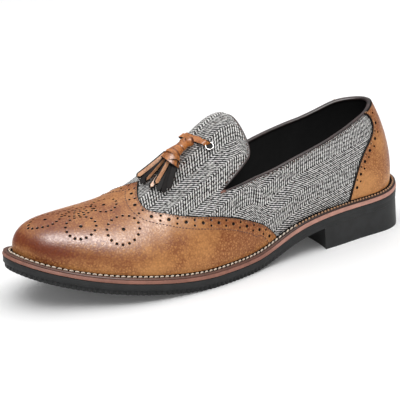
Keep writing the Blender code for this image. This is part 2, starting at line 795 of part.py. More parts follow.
def make_tassel(finish):
    """Bell cap with its strips fused on."""
    head, foot = tassel_frame(CAP_START), tassel_frame(CAP_START + CAP_LENGTH)
    start, end = head[0] + head[3] * CAP_TOP_LIFT, foot[0] + foot[3] * CAP_FOOT_LIFT
    tassel = turned("tassel", start + (end - start) * CAP["along"][:, None], CAP["radius"], 16, finish)
    root = start + (end - start) * STRIP_ROOT
    share = np.linspace(0, 1, 7)[:, None]
    for i, (length, aside, lift) in enumerate(zip(STRIPS["end"], STRIPS["across"], STRIPS["lift"])):
        goal = tassel_frame(CAP_START + CAP_LENGTH + length)
        tip = goal[0] + goal[2] * aside + goal[3] * lift
        mouth = end + foot[2] * aside * MOUTH_SPREAD + foot[3] * (lift - STRIP_LAYER) * MOUTH_RISE
        bend = (1 - share) ** 2 * root + 2 * share * (1 - share) * mouth + share ** 2 * tip
        mesh = bmesh.new()
        sweep(mesh, bend, [STRIP_WIDTH] * len(bend), np.array([foot[2]] * len(bend)), STRIP_THICK)
        strip = add_object("strip_%d" % i, mesh, finish)
        strip.hide_render = True
        strip.display_type = "WIRE"
        join = tassel.modifiers.new("strip_%d" % i, "BOOLEAN")
        join.operation = "UNION"
        join.object = strip


def main():
    for old in list(bpy.data.objects):
        bpy.data.objects.remove(old)
    rubber = material("black_rubber", (0.03, 0.03, 0.03), 0.6)
    tan = material("tan_leather", (0.42, 0.2, 0.09), 0.45)
    brown = material("brown_leather", (0.08, 0.04, 0.03), 0.5)
    tweed = material("grey_tweed", (0.22, 0.21, 0.2), 0.95)
    edge = material("welt_leather", (0.35, 0.19, 0.13), 0.55)
    lining = material("black_lining", (0.01, 0.01, 0.01), 0.8)
    steel = material("steel", (0.7, 0.7, 0.7), 0.25, 1.0)
    make_outsole(rubber)
    make_welt(edge)
    make_insole(lining)
    make_upper(tweed)
    make_wingtip(tan)
    make_counter(tan)
    make_binding(brown)
    for name, y in eyelet_sides().items():
        make_eyelet(name, y, steel)
    make_lace(tan)
    make_knot(tan)
    make_tassel(tan)


main()
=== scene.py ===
"""Looks of a left brogue loafer: tweed, punched tan leather, welt, moulded sole and tassel.

Tables are in millimetres in the part's own frame: x from the heel's back, y to the outer (lateral) side
and z up. in_scene() turns them into the scene's metres. A point of the upper is given by phi, the angle
that sets its station from heel (0) to toe (pi), and by q, which runs from the feather line, where the
upper meets the welt (0), to the ridge over the foot (1). Leather that lies on the upper is cut and punched
in the flat and then rolled onto it.
"""

from math import cos, pi, radians, sin, sqrt

import bpy
import numpy as np
from mathutils import Matrix, Vector
from mathutils.geometry import delaunay_2d_cdt
from mathutils.kdtree import KDTree


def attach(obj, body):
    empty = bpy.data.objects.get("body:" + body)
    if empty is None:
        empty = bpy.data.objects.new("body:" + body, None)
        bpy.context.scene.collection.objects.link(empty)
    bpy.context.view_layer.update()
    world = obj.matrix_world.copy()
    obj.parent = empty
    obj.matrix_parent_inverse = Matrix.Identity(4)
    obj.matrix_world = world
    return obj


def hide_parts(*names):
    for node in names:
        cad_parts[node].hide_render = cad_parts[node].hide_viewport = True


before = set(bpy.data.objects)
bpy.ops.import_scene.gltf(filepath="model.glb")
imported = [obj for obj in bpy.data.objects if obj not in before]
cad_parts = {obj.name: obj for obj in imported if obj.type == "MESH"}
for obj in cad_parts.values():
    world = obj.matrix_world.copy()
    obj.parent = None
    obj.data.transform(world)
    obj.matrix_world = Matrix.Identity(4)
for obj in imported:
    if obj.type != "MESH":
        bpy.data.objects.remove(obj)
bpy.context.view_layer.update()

MM = 0.001
LATERAL, MEDIAL = 1, -1
GAP = 0.3                    # between pieces that meet
NORMAL_Q = 0.97              # above this a point counts as on the ridge
POLE = 0.02                  # radians; nearer the heel's back or the toe's tip both sides share a normal

# Sole
LENGTH = 304.0
HEEL_END_RADIUS = 33.0
TOE_END_RADIUS = 19.0
TOE_AXIS = -6.0
OUTSOLE = 7.0
WELT = 4.4
RUBBER_RISE = 0.6            # of the outsole's edge over the welt's underside
BACK_REACH, HEEL_REACH, WELT_REACH, TOE_REACH = 6.4, 4.4, 6.0, 7.8   # of the welt beyond the upper
BACK_GROWTH, HEEL_GROWTH, TOE_GROWTH = (0.0, 30.0), (50.0, 150.0), (262.0, LENGTH)   # where it changes
WELT_WIDTH = 14.0
WELT_DARK = (100.0, 150.0)   # behind this the welt's upper band is dark
# The welt's bands from edge to upper: share of its reach, height, and 1 where it rises with the rubber; the
# third, the channel beside the upper, takes the dark material as painted shade
WELT_BANDS = (
    ((0.25, GAP, 1), (0, GAP, 1), (-0.03, 0.4 + GAP, 1), (0.02, 2.4), (0.06, 3.0), (0.1, 3.1)),
    ((0.1, 3.1), (0.07, 3.4), (0.08, 3.8), (0.14, 4.2), (0.24, 4.4), (0.36, 4.4), (0.42, 4.1)),
    ((0.42, 4.1), (0.48, 3.6), (0.95, 3.6), (1.6, 4.2), (2.2, 4.2)),
)
# Its stitches: from x to x, share of its reach, pitch, length and radius
WELT_SEAMS = ((108.0, LENGTH, 0.57, 3.5, 2.8, 0.62), (0.0, 108.0, 0.4, 2.8, 1.7, 0.7))
SEAM_SLANT = 0.35
TREAD_LAYER = 3.2
TREAD_STEP, WAIST_STEP = 0.8, 0.2
STEP_FADES = (108.0, 150.0)
HEEL_BREAST = 84.0
BREAST_HOLLOW = 5.0
BREAST_SPREAD = 12.0
UNDER_COLUMNS = 16
HEEL_TAPER, HEEL_LEAN = 1.005, 1.2   # of the heel's foot, and how far it stands back
HEEL_MIDDLE = 42.0
INSOLE = 3.0
INSOLE_CLEAR, INSOLE_HOLLOW = 0.7, 1.2
TOOTH_PITCH, TOOTH_DEPTH = 3.4, 0.5
EDGE_ROUND = 0.5

# Upper and what lies on it
WALL = 2.0
OVERLAY = 1.0
OVERLAY_GAP = 0.15
BINDING, FLAP_FOLD = 1.0, 0.9   # beyond the cloth, on the topline and on the flap
SLIT_PINCH, PINCHED = 14.0, 0.25   # the binding thins this far from the slit's end, to this share
COLLAR_SEAM, COLLAR_STITCH = 1.4, 1.8
TACK, TACK_RADIUS, TACK_ROWS = 4.6, 0.4, (-0.45, 0.0, 0.45)
NOTCH_X = 165.0
FLAP_X = 134.0
FLAP_ROUND = 11.5
FLAP_RETURN = 2.6
THROAT_X = 208.0
WING_TAIL_X = 124.0
TAIL_Q = 0.02
COUNTER_HEIGHT = 62.0        # of the counter's flat pattern
Q_SPAN = 60.0                # millimetres from q 0 to q 1, near enough for a crease's width

# Bands of the weave: they rise toward the heel, and steepen a little about the slit
WEAVE_X, BAND_START = 166.0, 6.0
BAND_SLOPE, BAND_TURN, BEND_LENGTH, BAND_CURVE = 0.64, 0.04, 12.0, 0.001
FLAP_SLOPE = 0.63            # of the ridge behind the slit, as the cloth is cut
WEAVE_BAND, YARN_PITCH, YARN_SLANT = 9.0, 1.5, radians(41)

# Tassel and its lace
EYELET_X, EYELET_SIDE = 162.7, 14.0
EYELET_RING, EYELET_WIRE = 2.6, 0.43
EYELET_HOLE = 0.3            # its dark floor above the cloth
LACE_X, LACE_PULL = 166.6, 2.6   # where it is level, and how far the tassel pulls its middle forward
LACE_WIDTH, LACE_END_WIDTH, LACE_THICK = 5.2, 3.8, 1.0
LACE_LIFT = 0.55
KNOT_RADIUS, KNOT_WIDTH = 3.2, 9.6
KNOT_TURN = radians(60)      # of its axis toward the heel
KNOT_GROOVES = ((0.05, 0.08, 0.9), (-0.5, 0.05, 0.35))   # place and width by its half length, and depth
# The neck's folds are painted shade only; its radius has its own dip
NECK_FOLD_SHADE = ((0.57, 0.04), (1.0, 0.06))   # place and width as shares of the neck
STRIP_THICK = 1.3
STRIP_POINT = 0.93           # share of a strip where its end begins
STRIP_ROOT = 4.0             # length inside the cap
MOUTH = 6.5                  # the cap's open end inside
CAP_SQUASH, CAP_LEAN = 0.8, 0.3   # its flattening, and how far its outer side hangs lower

FLOOR = 4.0                  # half width, in metres

# Fineness of the meshes
COLUMNS = 720                # of the sole's rings, each side
UPPER_COLUMNS, ROWS_BELOW, ROWS_ABOVE, FLAP_COLUMNS = 190, 40, 40, 26
SHEET_STEP = 2.2             # between points of a leather sheet
LOOP_STEP = 1.3              # along its edge

# Brogue work, measured from an edge of the leather
CUT_ROUND = 0.4              # the cut edge's rounding
WING_PAINT, COUNTER_PAINT = 0.6, 1.1   # width of the edges' dark paint
EDGE_STITCH, INNER_STITCH = 1.3, 8.3
COUNTER_STITCH = 2.0         # from the counter's edge
STITCH, STITCH_PITCH, STITCH_RADIUS = 1.7, 2.5, 0.3
BIG_HOLE, BIG_ROW = 1.15, 4.2
SMALL_HOLE, SMALL_ROWS = 0.8, (2.4, 6.0)
WING_START, COUNTER_START = 5.2, 11.0   # of the first big hole, along the edge
# Between big holes, at the edge's start and end, and the length before the end over which that changes
WING_PITCHES, COUNTER_PITCHES = (12.9, 9.7, 130.0), (10.4, 8.4, 60.0)
WING_MIDDLE = -2.5           # y of the ridge on the wing's flat pattern
WING_HOLES, WING_STITCHES = (127.0, 0.8), (130.0, 0.4)   # from this x, this far off the middle
COUNTER_HOLES = (4.0, 59.0)  # up its flat pattern
GRAIN, GRAIN_DEPTH = 1.9, 0.07   # the leather's pebbles
MEDAL_HOLE = 0.9
MEDAL_AXIS, MEDAL_TURN = (276.5, -2.3), 0.117   # x and y of the toe's axis, and its slope
HOLE_RIM, HOLE_DROP = 0.35, 0.25
# Ovals and leaves on the toe's axis: x, half length, half width, dots, point and the hole in the middle
MEDALS = (
    (276.5, 12.0, 8.2, 18, 1.35, 1.1),
    (253.0, 11.0, 5.6, 16, 1.3, 0.8),
    (253.0, 4.2, 3.0, 7, 1.0, 0.8),
    (237.0, 8.2, 8.8, 15, 1.0, 1.1),
)
# Round medals beside it: x, away from the axis, half length, half width and dots
SIDE_MEDALS = (
    (260.0, 16.1, 10.0, 9.0, 16),
    (236.0, 26.4, 10.7, 10.2, 16),
)


def table(names, *rows):
    """Named columns of a short table."""
    return dict(zip(names.split(), np.array(rows, float).T))


PLAN = table(
    "share axis lateral medial",
    (0.06, 0.0, 28.0, 28.0),
    (0.14, 0.0, 31.5, 31.5),
    (0.26, 0.0, 35.5, 32.5),
    (0.38, 0.0, 38.0, 29.5),
    (0.50, 0.0, 45.5, 33.0),
    (0.60, 0.0, 50.5, 42.0),
    (0.70, 0.0, 50.0, 50.0),
    (0.80, -2.0, 45.5, 47.0),
    (0.90, -4.0, 32.5, 34.0),
    (0.96, -5.0, 22.5, 22.0),
)
SPRING = table(
    "share height",
    (0.00, 22.5),
    (0.10, 17.5),
    (0.24, 16.5),
    (0.36, 10.6),
    (0.46, 1.5),
    (0.53, 0.0),
    (0.60, 0.0),
    (0.68, 1.8),
    (0.78, 6.2),
    (0.88, 11.8),
    (1.00, 24.0),
)
RIDGE = table(
    "x height",
    (40.0, 112.0),
    (75.0, 113.0),
    (110.0, 109.0),
    (124.0, 101.0),
    (136.0, 97.2),
    (141.0, 100.2),
    (146.0, 100.6),
    (152.0, 98.9),
    (166.0, 89.8),
    (190.0, 74.5),
    (210.0, 63.0),
    (225.0, 57.0),
    (240.0, 54.0),
    (255.0, 52.5),
    (274.0, 51.5),
)
SECTIONS = table(
    "share shift ridge up out crown inner_up inner_out inner_crown",
    (0.00, 42.0, 0.0, 30.0, 5.0, 18.0, 30.0, 5.0, 18.0),
    (0.10, 26.0, 0.0, 32.0, 3.0, 21.0, 32.0, 3.0, 21.0),
    (0.22, 14.0, -0.5, 34.0, 3.0, 22.0, 34.0, 3.0, 22.0),
    (0.35, 4.0, -1.0, 32.0, 3.0, 22.0, 36.0, 5.0, 22.0),
    (0.46, 0.0, -1.5, 30.0, 2.0, 21.0, 36.0, 5.0, 22.0),
    (0.56, 0.0, -2.0, 22.0, 3.0, 23.0, 28.0, 4.0, 22.0),
    (0.66, 0.0, -2.0, 18.0, 3.0, 26.0, 22.0, 3.0, 25.0),
    (0.76, -1.0, -1.0, 16.0, 3.0, 26.0, 17.0, 3.0, 26.0),
    (0.86, -5.0, 0.0, 15.0, 3.0, 24.0, 15.0, 3.0, 25.0),
    (0.93, -14.0, 0.0, 12.0, 2.5, 21.0, 12.0, 2.5, 21.0),
    (1.00, -31.0, 0.0, 9.0, 2.0, 18.0, 9.0, 2.0, 18.0),
)
TOPLINE = table(
    "x lateral medial",
    (14.0, 93.9, 93.9),
    (21.0, 92.4, 92.4),
    (24.0, 91.6, 91.85),
    (36.0, 87.2, 89.6),
    (50.0, 82.3, 84.5),
    (66.0, 77.4, 79.6),
    (79.0, 74.2, 76.6),
    (92.0, 71.0, 73.8),
    (103.0, 68.2, 71.2),
    (114.0, 65.1, 68.2),
    (124.0, 62.6, 65.4),
    (142.0, 59.7, 61.4),
    (152.0, 58.2, 59.4),
    (165.0, 57.2, 58.2),
)
WING_EDGE = table(
    "x height",
    (124.0, 18.2),
    (131.0, 25.6),
    (142.0, 32.6),
    (157.0, 38.9),
    (173.5, 43.4),
    (189.0, 45.9),
    (208.0, 50.3),
)
WING_THROAT = table(
    "rise x",
    (0.00, 208.0),
    (0.08, 211.8),
    (0.20, 216.0),
    (0.36, 217.8),
    (0.53, 217.3),
    (0.70, 215.2),
    (0.90, 211.0),
    (1.00, 208.6),
)
COUNTER_EDGE = table(
    "rise x",
    (0.00, 58.4),
    (0.15, 56.0),
    (0.30, 53.0),
    (0.50, 47.2),
    (0.62, 41.4),
    (0.69, 36.4),
    (0.75, 32.8),
    (0.81, 31.2),
    (0.88, 31.6),
    (0.95, 34.2),
    (1.00, 37.0),
)
# Section of the binding: beyond the cloth's edge, and off its face
BINDING_SECTION = table(
    "out lift",
    (-0.55, 0.05),
    (-0.5, 0.3),
    (-0.2, 0.5),
    (0.3, 0.5),
    (0.75, 0.3),
    (1.0, -0.2),
    (1.05, -1.0),
    (1.0, -1.8),
    (0.7, -2.3),
    (0.2, -2.5),
    (-0.55, -2.4),
)
# The lace's way out of an eyelet: away from it, off the cloth, and the share of its way to LACE_X
LACE_CLIMB = table(
    "away lift share",
    (1.4, -1.6, 0.0),
    (1.5, 0.2, 0.0),
    (2.1, 1.9, 0.3),
    (3.3, 2.4, 0.6),
    (5.2, 1.4, 0.9),
    (7.4, 0.6, 1.0),
)
# The tassel's places over the vamp: x, y and lift
KNOT = (172.8, 3.6, 3.2)
CAP_TOP = (184.2, 6.5, 8.0)
CAP_FOOT = (189.3, 8.4, 5.2)
NECK = table(
    "along radius",
    (0.0, 2.6),
    (0.25, 3.4),
    (0.5, 3.5),
    (0.56, 3.1),
    (0.62, 3.8),
    (1.0, 4.6),
    (1.3, 4.8),
)
CAP = table(
    "along radius",
    (-0.1, 0.1),
    (-0.06, 4.4),
    (0.0, 5.2),
    (0.15, 5.7),
    (0.5, 6.4),
    (0.95, 7.4),
    (1.0, 7.3),
)
CAP_INSIDE = table("along radius", (1.0, 7.3), (0.95, 6.7), (0.6, 4.8))
# Each strip's place in the cap's mouth, across it and down, its end over the vamp, how far its face is
# turned outward in degrees, and its width
STRIPS = table(
    "across down x y lift turn width",
    (0.80, -0.20, 208.0, -1.9, 4.0, 50.0, 4.2),
    (0.42, -0.36, 206.4, 5.8, 3.6, 80.0, 3.4),
    (-0.06, -0.40, 203.6, 12.6, 3.2, 52.0, 4.2),
    (0.16, 0.10, 207.4, 11.7, 1.8, 20.0, 3.8),
    (-0.46, -0.24, 202.5, 19.1, 1.9, 220.0, 3.6),
    (-0.80, -0.10, 198.2, 19.1, 1.9, 200.0, 3.6),
    (-0.20, 0.20, 204.6, 16.0, 1.5, 190.0, 3.4),
    (0.50, 0.10, 209.3, 3.4, 2.2, 200.0, 5.0),
    (0.82, 0.10, 206.0, -6.0, 2.0, 160.0, 3.6),
)
# Soft creases where the shoe bends: from one place to another by station and q, how wide and how deep
CREASES = table(
    "side x q to_x to_q width depth",
    (1, 196.0, 0.62, 205.0, 0.20, 5.0, 0.15),
    (1, 212.0, 0.66, 219.0, 0.26, 5.0, 0.12),
    (-1, 198.0, 0.62, 207.0, 0.20, 5.0, 0.15),
    (-1, 214.0, 0.66, 221.0, 0.26, 5.0, 0.12),
    (1, 184.0, 0.98, 178.0, 0.62, 6.0, 0.5),
    (-1, 184.0, 0.98, 178.0, 0.62, 6.0, 0.5),
    (1, 60.0, 0.50, 66.0, 0.14, 7.0, 0.5),
    (-1, 58.0, 0.50, 64.0, 0.14, 7.0, 0.5),
)


def batten(knots, values):
    """A natural cubic spline, bent as a draughtsman's batten through the given places."""
    knots, values = np.asarray(knots, float), np.asarray(values, float)
    gap, count = np.diff(knots), len(knots)
    system, pull = np.eye(count), np.zeros(count)
    for i in range(1, count - 1):
        system[i, i - 1:i + 2] = gap[i - 1], 2 * (gap[i - 1] + gap[i]), gap[i]
        pull[i] = 6 * ((values[i + 1] - values[i]) / gap[i] - (values[i] - values[i - 1]) / gap[i - 1])
    bend = np.linalg.solve(system, pull)

    def at(place):
        place = np.clip(place, knots[0], knots[-1])
        i = np.clip(np.searchsorted(knots, place) - 1, 0, count - 2)
        b = (place - knots[i]) / gap[i]
        a = 1 - b
        sag = ((a ** 3 - a) * bend[i] + (b ** 3 - b) * bend[i + 1]) * gap[i] ** 2 / 6
        return a * values[i] + b * values[i + 1] + sag

    return at


def growth(x, span):
    """A soft rise from 0 to 1 as x goes over a span."""
    share = np.clip((x - span[0]) / (span[1] - span[0]), 0, 1)
    return share * share * (3 - 2 * share)


def unit(vectors):
    return vectors / np.maximum(np.linalg.norm(vectors, axis=-1, keepdims=True), 1e-9)


def lengths(line):
    """How far along a line each of its points lies."""
    return np.append(0, np.cumsum(np.linalg.norm(np.diff(line, axis=0), axis=1)))


def station(phi):
    return LENGTH / 2 * (1 - np.cos(phi))


def angle_at(x):
    return np.arccos(np.clip(1 - 2 * np.asarray(x, float) / LENGTH, -1, 1))


def fullness(side):
    """The outline's half width over a half circle's, with round ends of the given radii."""
    phi = angle_at(PLAN["share"] * LENGTH)
    half = PLAN["lateral" if side == LATERAL else "medial"] / (LENGTH / 2 * np.sin(phi))
    ends = sqrt(2 * HEEL_END_RADIUS / LENGTH), sqrt(2 * TOE_END_RADIUS / LENGTH)
    return batten([0, *phi, pi], [ends[0], *half, ends[1]])


FULL = {LATERAL: fullness(LATERAL), MEDIAL: fullness(MEDIAL)}
AXIS = batten([0, *PLAN["share"] * LENGTH, LENGTH], [0, *PLAN["axis"], TOE_AXIS])
TREAD = batten(SPRING["share"] * LENGTH, SPRING["height"])
RIDGE_HEIGHT = batten(RIDGE["x"], RIDGE["height"])
SECTION = {name: batten(SECTIONS["share"] * LENGTH, values) for name, values in SECTIONS.items()}
TOP = {LATERAL: batten(TOPLINE["x"], TOPLINE["lateral"]), MEDIAL: batten(TOPLINE["x"], TOPLINE["medial"])}
WING_HEIGHT = batten(WING_EDGE["x"], WING_EDGE["height"])
THROAT = batten(WING_THROAT["rise"], WING_THROAT["x"])
COUNTER_X = batten(COUNTER_EDGE["rise"], COUNTER_EDGE["x"])
PHI = np.linspace(0, pi, COLUMNS + 1)


def outline(phi, side, inset=0.0):
    """Points of the sole's outline, moved in by inset, and the directions out of it."""
    phi = np.asarray(phi, float)

    def edge(angle):
        half = LENGTH / 2 * np.sin(angle) * FULL[side](angle)
        x = station(angle)
        return np.stack([x, AXIS(x) + side * half], -1)

    step = 0.001
    run = edge(np.minimum(phi + step, pi)) - edge(np.maximum(phi - step, 0))
    run[np.isclose(phi, 0)] = 0, side
    run[np.isclose(phi, pi)] = 0, -side
    run = unit(run)
    out = np.stack([-run[..., 1], run[..., 0]], -1) * side
    return edge(phi) - out * np.asarray(inset)[..., None], out


def tread_height(x):
    return np.maximum(TREAD(x), 0)


def welt_bottom(x):
    return tread_height(x) + OUTSOLE


def welt_top(x):
    return welt_bottom(x) + WELT


def reach(x):
    """How far the upper's foot stands in from the sole's outline."""
    width = BACK_REACH + (HEEL_REACH - BACK_REACH) * growth(x, BACK_GROWTH)
    width = width + (WELT_REACH - HEEL_REACH) * growth(x, HEEL_GROWTH)
    return width + (TOE_REACH - WELT_REACH) * growth(x, TOE_GROWTH)


def wall_ends(phi, side):
    """The feather point and the ridge point of each station, and the way down from ridge to feather."""
    x = station(phi)
    foot, away = outline(phi, side, reach(x))
    feather = np.concatenate([foot, (welt_top(foot[..., 0]) + GAP)[..., None]], -1)
    top_x = x + SECTION["shift"](x)
    top = np.stack([top_x, AXIS(x) + SECTION["ridge"](x), RIDGE_HEIGHT(top_x)], -1)
    return feather, away, top, unit(foot - top[..., :2])


def wall_point(phi, q, side):
    """The upper's outer face: a cubic curve from feather to ridge at each station."""
    phi, q = np.broadcast_arrays(np.asarray(phi, float), np.asarray(q, float))
    x = station(phi)
    names = ("up", "out", "crown") if side == LATERAL else ("inner_up", "inner_out", "inner_crown")
    up, out, crown = (SECTION[name](x)[..., None] for name in names)
    feather, away, top, down = wall_ends(phi, side)
    slope = RIDGE_HEIGHT(top[..., 0] + 0.5) - RIDGE_HEIGHT(top[..., 0] - 0.5)
    first = feather + np.concatenate([away * out, up], -1)
    second = top + np.concatenate([down, (slope * down[..., 0])[..., None]], -1) * crown
    q = q[..., None]
    p = 1 - q
    return p ** 3 * feather + 3 * p * p * q * first + 3 * p * q * q * second + q ** 3 * top


def bisect(rises, low, high, like):
    """Where a rising function passes zero, for each entry of an array like the given one."""
    low, high = np.full(np.shape(like), low), np.full(np.shape(like), high)
    for _ in range(30):
        middle = (low + high) / 2
        over = rises(middle) > 0
        low, high = np.where(over, low, middle), np.where(over, middle, high)
    return (low + high) / 2


def q_at_height(phi, side, edge):
    """Where a station's wall passes the height that edge gives for its x."""

    def over(q):
        point = wall_point(phi, q, side)
        return point[..., 2] - edge(point[..., 0])

    return bisect(over, 0.0, NORMAL_Q, phi)


def topline_q(phi, side):
    return q_at_height(phi, side, TOP[side])


def notch(side):
    phi = float(angle_at(NOTCH_X))
    return phi, float(topline_q(phi, side))


def flap_angle(rise):
    """Station of the flap's edge, from the slit (rise 0) to the ridge (1)."""
    back = (NOTCH_X - FLAP_X) * (1 - (1 - rise) ** FLAP_ROUND)
    return angle_at(NOTCH_X - back + FLAP_RETURN * growth(rise, (0, 1)))


def place_on_wall(x, y):
    """The phi, q and side of the upper's point over x and y, where its stations stand square."""
    phi = float(angle_at(x))
    side = LATERAL if y > wall_point(phi, 1.0, LATERAL)[1] else MEDIAL
    q = bisect(lambda q: side * (y - wall_point(phi, q, side)[1]), 0.3, 1.0, phi)
    return phi, float(q), side


EDGE_Y = [outline(np.linspace(0, pi, 721), side)[0][:, 1] for side in (LATERAL, MEDIAL)]
ORIGIN = np.array([LENGTH / 2, (EDGE_Y[0].max() + EDGE_Y[1].min()) / 2, 0.0])


def in_scene(points):
    return (np.asarray(points, float) - ORIGIN) * MM


# The worn skin of the upper

def crease(phi, q, side):
    """How far wear has pressed a place in: soft troughs with a low ridge beside them."""
    place, sunk = np.stack([station(phi), q * Q_SPAN], -1), np.zeros(np.shape(phi))
    for own, *ends, width, depth in zip(*CREASES.values()):
        if own != side:
            continue
        start, end = np.reshape(ends, (2, 2)) * (1, Q_SPAN)
        line, offset = end - start, place - start
        share = np.clip(offset @ line / (line @ line), 0, 1)
        aside = np.cross(line, offset) / np.linalg.norm(line)
        off = np.linalg.norm(offset - share[..., None] * line, axis=-1)
        trough = np.exp(-(off / width) ** 2)
        ridge = np.exp(-((aside - 1.7 * width) / width) ** 2 - (off / 3 / width) ** 2)
        sunk = sunk - depth * (trough - 0.5 * ridge) * np.sin(pi * np.clip(share, 0.05, 0.95)) ** 0.5
    return sunk


def side_skin(phi, q, side):
    step = 0.002
    q = np.minimum(q, NORMAL_Q)
    forward, backward = np.minimum(phi + step, pi), np.maximum(phi - step, 0)
    higher, lower = q + step, np.maximum(q - step, 0)
    along = wall_point(forward, q, side) - wall_point(backward, q, side)
    rise = wall_point(phi, higher, side) - wall_point(phi, lower, side)
    out = unit(np.cross(rise, along) * side)
    along = along + out * (crease(forward, q, side) - crease(backward, q, side))[..., None]
    rise = rise + out * (crease(phi, higher, side) - crease(phi, lower, side))[..., None]
    return unit(np.cross(rise, along) * side)


def skin(phi, q, side, lift=0.0):
    """Points over the worn upper, lifted off it, and the directions out of it."""
    phi, q = np.broadcast_arrays(np.asarray(phi, float), np.asarray(q, float))
    own, other = side_skin(phi, q, side), side_skin(phi, q, -side)
    shared = (q > NORMAL_Q) | (phi < POLE) | (phi > pi - POLE)
    out = unit(np.where(shared[..., None], own + other, own))
    sunk = np.where(q > NORMAL_Q, crease(phi, q, side) + crease(phi, q, -side), crease(phi, q, side))
    return wall_point(phi, q, side) + out * (lift + sunk)[..., None], out


def arc_from_ridge(phi, q, side, steps=24):
    """Length over the surface from each place up to the ridge."""
    phi, q = np.broadcast_arrays(np.asarray(phi, float), np.asarray(q, float))
    share = np.linspace(0, 1, steps + 1).reshape(-1, *[1] * phi.ndim)
    points = wall_point(np.broadcast_to(phi, (steps + 1, *phi.shape)), q + (1 - q) * share, side)
    return np.linalg.norm(np.diff(points, axis=0), axis=-1).sum(axis=0)


# Meshes

class Patches:
    """The faces of one piece, gathered patch by patch: points, normals and three marks for each point."""

    def __init__(self):
        self.points, self.normals, self.marks, self.faces, self.finishes = [], [], [], [], []
        self.count = 0

    def add(self, points, faces, normals=None, marks=None, finish=0):
        points = np.reshape(points, (-1, 3))
        blank = np.zeros_like(points)
        self.points.append(points)
        self.normals.append(blank if normals is None else np.reshape(normals, (-1, 3)))
        self.marks.append(blank if marks is None else np.reshape(marks, (-1, 3)))
        self.faces.extend((np.asarray(faces) + self.count).tolist())
        self.finishes.extend([finish] * len(faces))
        self.count += len(points)

    def grid(self, points, normals=None, marks=None, finish=0, flip=False, closed=False):
        """Rows of points joined by faces, the last column to the first where closed."""
        at = np.arange(points.shape[0] * points.shape[1]).reshape(points.shape[:2])
        if closed:
            at = np.concatenate([at, at[:, :1]], 1)
        faces = np.stack([at[:-1, :-1], at[1:, :-1], at[1:, 1:], at[:-1, 1:]], -1).reshape(-1, 4)
        self.add(points, faces[:, ::-1] if flip else faces, normals, marks, finish)

    def piece(self, name, finishes, nodes=(), slot=None):
        mesh = bpy.data.meshes.new(name)
        mesh.from_pydata(in_scene(np.concatenate(self.points)), [], self.faces)
        for finish in finishes:
            mesh.materials.append(finish)
        mesh.polygons.foreach_set("material_index", self.finishes)
        mesh.shade_smooth()
        marks = np.concatenate(self.marks)
        corner = np.empty(len(mesh.loops), int)
        mesh.loops.foreach_get("vertex_index", corner)
        mesh.uv_layers.new(name="weave").uv.foreach_set("vector", marks[corner, :2].ravel())
        mesh.attributes.new("shade", "FLOAT", "POINT").data.foreach_set("value", marks[:, 2].copy())
        normals = np.concatenate(self.normals)
        if normals.any():
            mesh.normals_split_custom_set_from_vertices(normals)
        else:
            mesh.set_sharp_from_angle(angle=radians(40))
        made = bpy.data.objects.new(name, mesh)
        bpy.context.scene.collection.objects.link(made)
        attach(made, "root")
        if nodes:
            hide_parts(*nodes)


def stitches(patches, starts, ends, normals, radius, finish=0):
    """Short threads, thick in the middle, from each start to each end."""
    turn = np.linspace(0, 2 * pi, 6, endpoint=False)[:, None]
    swell = ((0.0, 0.25), (0.12, 0.8), (0.5, 1.0), (0.88, 0.8), (1.0, 0.25))
    for start, end, out in zip(starts, ends, normals):
        side = unit(np.cross(out, end - start))
        rows = []
        for share, size in swell:
            middle = start + (end - start) * share + out * radius * (size - 0.5)
            rows.append(middle + radius * size * (np.cos(turn) * side + np.sin(turn) * out))
        patches.grid(np.array(rows), finish=finish, closed=True)


# Materials

def srgb(*levels):
    """A colour of the photo's 0 to 255 levels, as the shader's linear one."""
    share = np.array(levels) / 255
    linear = np.where(share < 0.04045, share / 12.92, ((share + 0.055) / 1.055) ** 2.4)
    return (*linear, 1.0)


class Finish:
    """A material with shorthand for its nodes."""

    def __init__(self, name, **shader):
        self.made = bpy.data.materials.new(name)
        self.made.use_nodes = True
        self.nodes, self.links = self.made.node_tree.nodes, self.made.node_tree.links
        self.shader = self.nodes["Principled BSDF"]
        self.set(**shader)
        self.place = self.node("TexCoord", out="Object")

    def put(self, socket, value):
        if isinstance(value, bpy.types.NodeSocket):
            self.links.new(value, socket)
        else:
            socket.default_value = value

    def set(self, **inputs):
        for name, value in inputs.items():
            self.put(self.shader.inputs[name.replace("_", " ")], value)

    def node(self, kind, inputs=None, out=0, **settings):
        made = self.nodes.new("ShaderNode" + kind)
        for name, value in settings.items():
            setattr(made, name, value)
        for name, value in (inputs or {}).items():
            self.put(made.inputs[name], value)
        return made.outputs[out]

    def math(self, operation, *values):
        return self.node("Math", dict(enumerate(values)), operation=operation)

    def plus(self, a, b):
        return self.math("ADD", a, b)

    def times(self, a, b):
        return self.math("MULTIPLY", a, b)

    def clouds(self, vector, scale, detail):
        return self.node("TexNoise", {"Vector": vector, "Scale": scale, "Detail": detail})

    def noise(self, size, detail=2.0):
        """Clouds of the given size in millimetres."""
        return self.clouds(self.place, 1 / (size * MM), detail)

    def spread(self, value, low, high, to_low=0.0, to_high=1.0):
        inputs = {"Value": value, "From Min": low, "From Max": high, "To Min": to_low, "To Max": to_high}
        return self.node("MapRange", inputs, interpolation_type="SMOOTHSTEP")

    def mix(self, share, a, b, blend="MIX"):
        return self.node("Mix", {0: share, 6: a, 7: b}, out=2, data_type="RGBA", blend_type=blend)

    def shade(self):
        """The third of a point's marks."""
        return self.node("Attribute", out="Fac", attribute_name="shade")

    def bump(self, height, depth, strength):
        """Relief of the given depth in millimetres."""
        self.set(Normal=self.node("Bump", {"Height": height, "Distance": depth * MM, "Strength": strength}))


